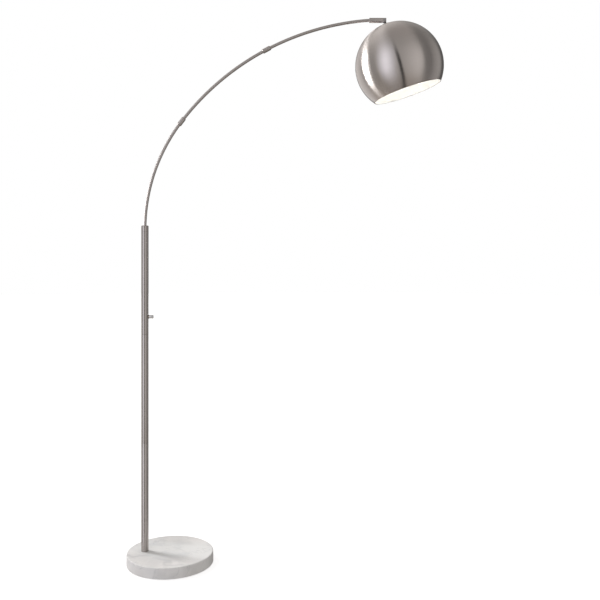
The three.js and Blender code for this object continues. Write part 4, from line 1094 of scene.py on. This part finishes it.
stripPlace, (stripWidth, stripHeight) = Vector(studio["stripPlace"]), studio["stripSize"]
stripEnergy = studio["stripBrightness"] * math.pi * stripWidth * stripHeight
strip = addLight("strip light", "AREA", stripEnergy, stripPlace, stripPlace - Vector(studio["stripAim"]))
strip.data.shape = "RECTANGLE"
strip.data.size, strip.data.size_y = stripWidth, stripHeight
strip.data.spread = math.radians(studio["stripSpread"])
# the strip is for the head and the arm: on the pole it would burn out the left edge
poleOnly = bpy.data.collections.new("pole metal")
for piece in poleMetal:
    poleOnly.objects.link(piece)
strip.light_linking.receiver_collection = poleOnly
for member in poleOnly.collection_objects:
    member.light_linking.link_state = "EXCLUDE"
bearing, rise = math.radians(studio["sunAzimuth"]), math.radians(studio["sunElevation"])
towardsSun = (math.sin(bearing) * math.cos(rise), -math.cos(bearing) * math.cos(rise), math.sin(rise))
sun = addLight("soft key", "SUN", studio["sunStrength"], (0, 0, studio["sunHeight"]), towardsSun)
sun.data.angle = math.radians(studio["sunSpread"])
sun.visible_glossy = False

world = bpy.data.worlds.new("studio")
scene.world = world
world.use_nodes = True
sky = world.node_tree
sky.nodes.clear()
looking = put(sky, "ShaderNodeTexCoord")
parts = put(sky, "ShaderNodeSeparateXYZ")
wire(sky, (looking, "Generated"), (parts, 0))
turn = calc(sky, "ARCTAN2", (parts, "X"), (calc(sky, "MULTIPLY", (parts, "Y"), -1.0), 0))
share = put(sky, "ShaderNodeMapRange", {"From Min": -math.pi, "From Max": math.pi})
wire(sky, (turn, 0), (share, "Value"))


def allRound(stops):
    lights = ramp(sky, [((degrees + 180) / 360, colour) for degrees, colour in stops])
    wire(sky, (share, 0), (lights, "Fac"))
    return (lights, "Color")


def ringOfLight(ring):
    return allRound([(degrees, [level * part / studio["brightest"] for part in ring["tint"]])
                     for degrees, level in ring["light"]])


# lays another tone over this one as the view rises, or sinks, through a band's two heights
def laidOver(tone, band):
    height = rising(sky, (parts, "Z"), band["from"], band["to"])
    mixed = put(sky, "ShaderNodeMix", data_type="RGBA")
    wire(sky, (height, 0), (mixed, "Factor"))
    wire(sky, tone, (mixed, "A"))
    if "light" in band:
        wire(sky, ringOfLight(band), (mixed, "B"))
    else:
        mixed.inputs["B"].default_value = (*band["tone"], 1)
    return (mixed, "Result")


tinted = put(sky, "ShaderNodeVectorMath", operation="MULTIPLY")
coolStops = zip(studio["coolPart"], (white, studio["coolTint"], studio["coolTint"], white))
wire(sky, ringOfLight(studio["around"]), (tinted, 0))
wire(sky, allRound(coolStops), (tinted, 1))
tone = (tinted, 0)
for label in ("above", "below", "zenith"):
    tone = laidOver(tone, studio[label])

# the dark slot leans and fades out upwards
leaned = calc(sky, "ADD", (calc(sky, "MULTIPLY", (parts, "Z"), studio["slotLean"]), 0), (parts, "X"))
across = put(sky, "ShaderNodeMapRange", {"From Min": -1.0})
slot = ramp(sky, [((x + 1) / 2, (level,) * 3) for x, level in studio["darkSlot"]])
wire(sky, (leaned, 0), (across, "Value"))
wire(sky, (across, 0), (slot, "Fac"))
slotTop = rising(sky, (parts, "Z"), *studio["slotTop"])
unslotted = calc(sky, "MAXIMUM", (slot, "Color"), (slotTop, 0))
strength = calc(sky, "MULTIPLY", (unslotted, 0), studio["brightest"])

# the camera sees plain white behind the lamp
soft = put(sky, "ShaderNodeBackground")
wire(sky, tone, (soft, "Color"))
wire(sky, (strength, 0), (soft, "Strength"))
plain = put(sky, "ShaderNodeBackground", {"Color": (*white, 1)})
either = put(sky, "ShaderNodeMixShader")
wire(sky, (put(sky, "ShaderNodeLightPath"), "Is Camera Ray"), (either, 0))
wire(sky, (soft, 0), (either, 1))
wire(sky, (plain, 0), (either, 2))
wire(sky, (either, 0), (put(sky, "ShaderNodeOutputWorld"), "Surface"))
faces = sum(len(piece.data.polygons) for piece in finePieces)
print("studio set,", len(finePieces), "pieces made,", faces, "faces")
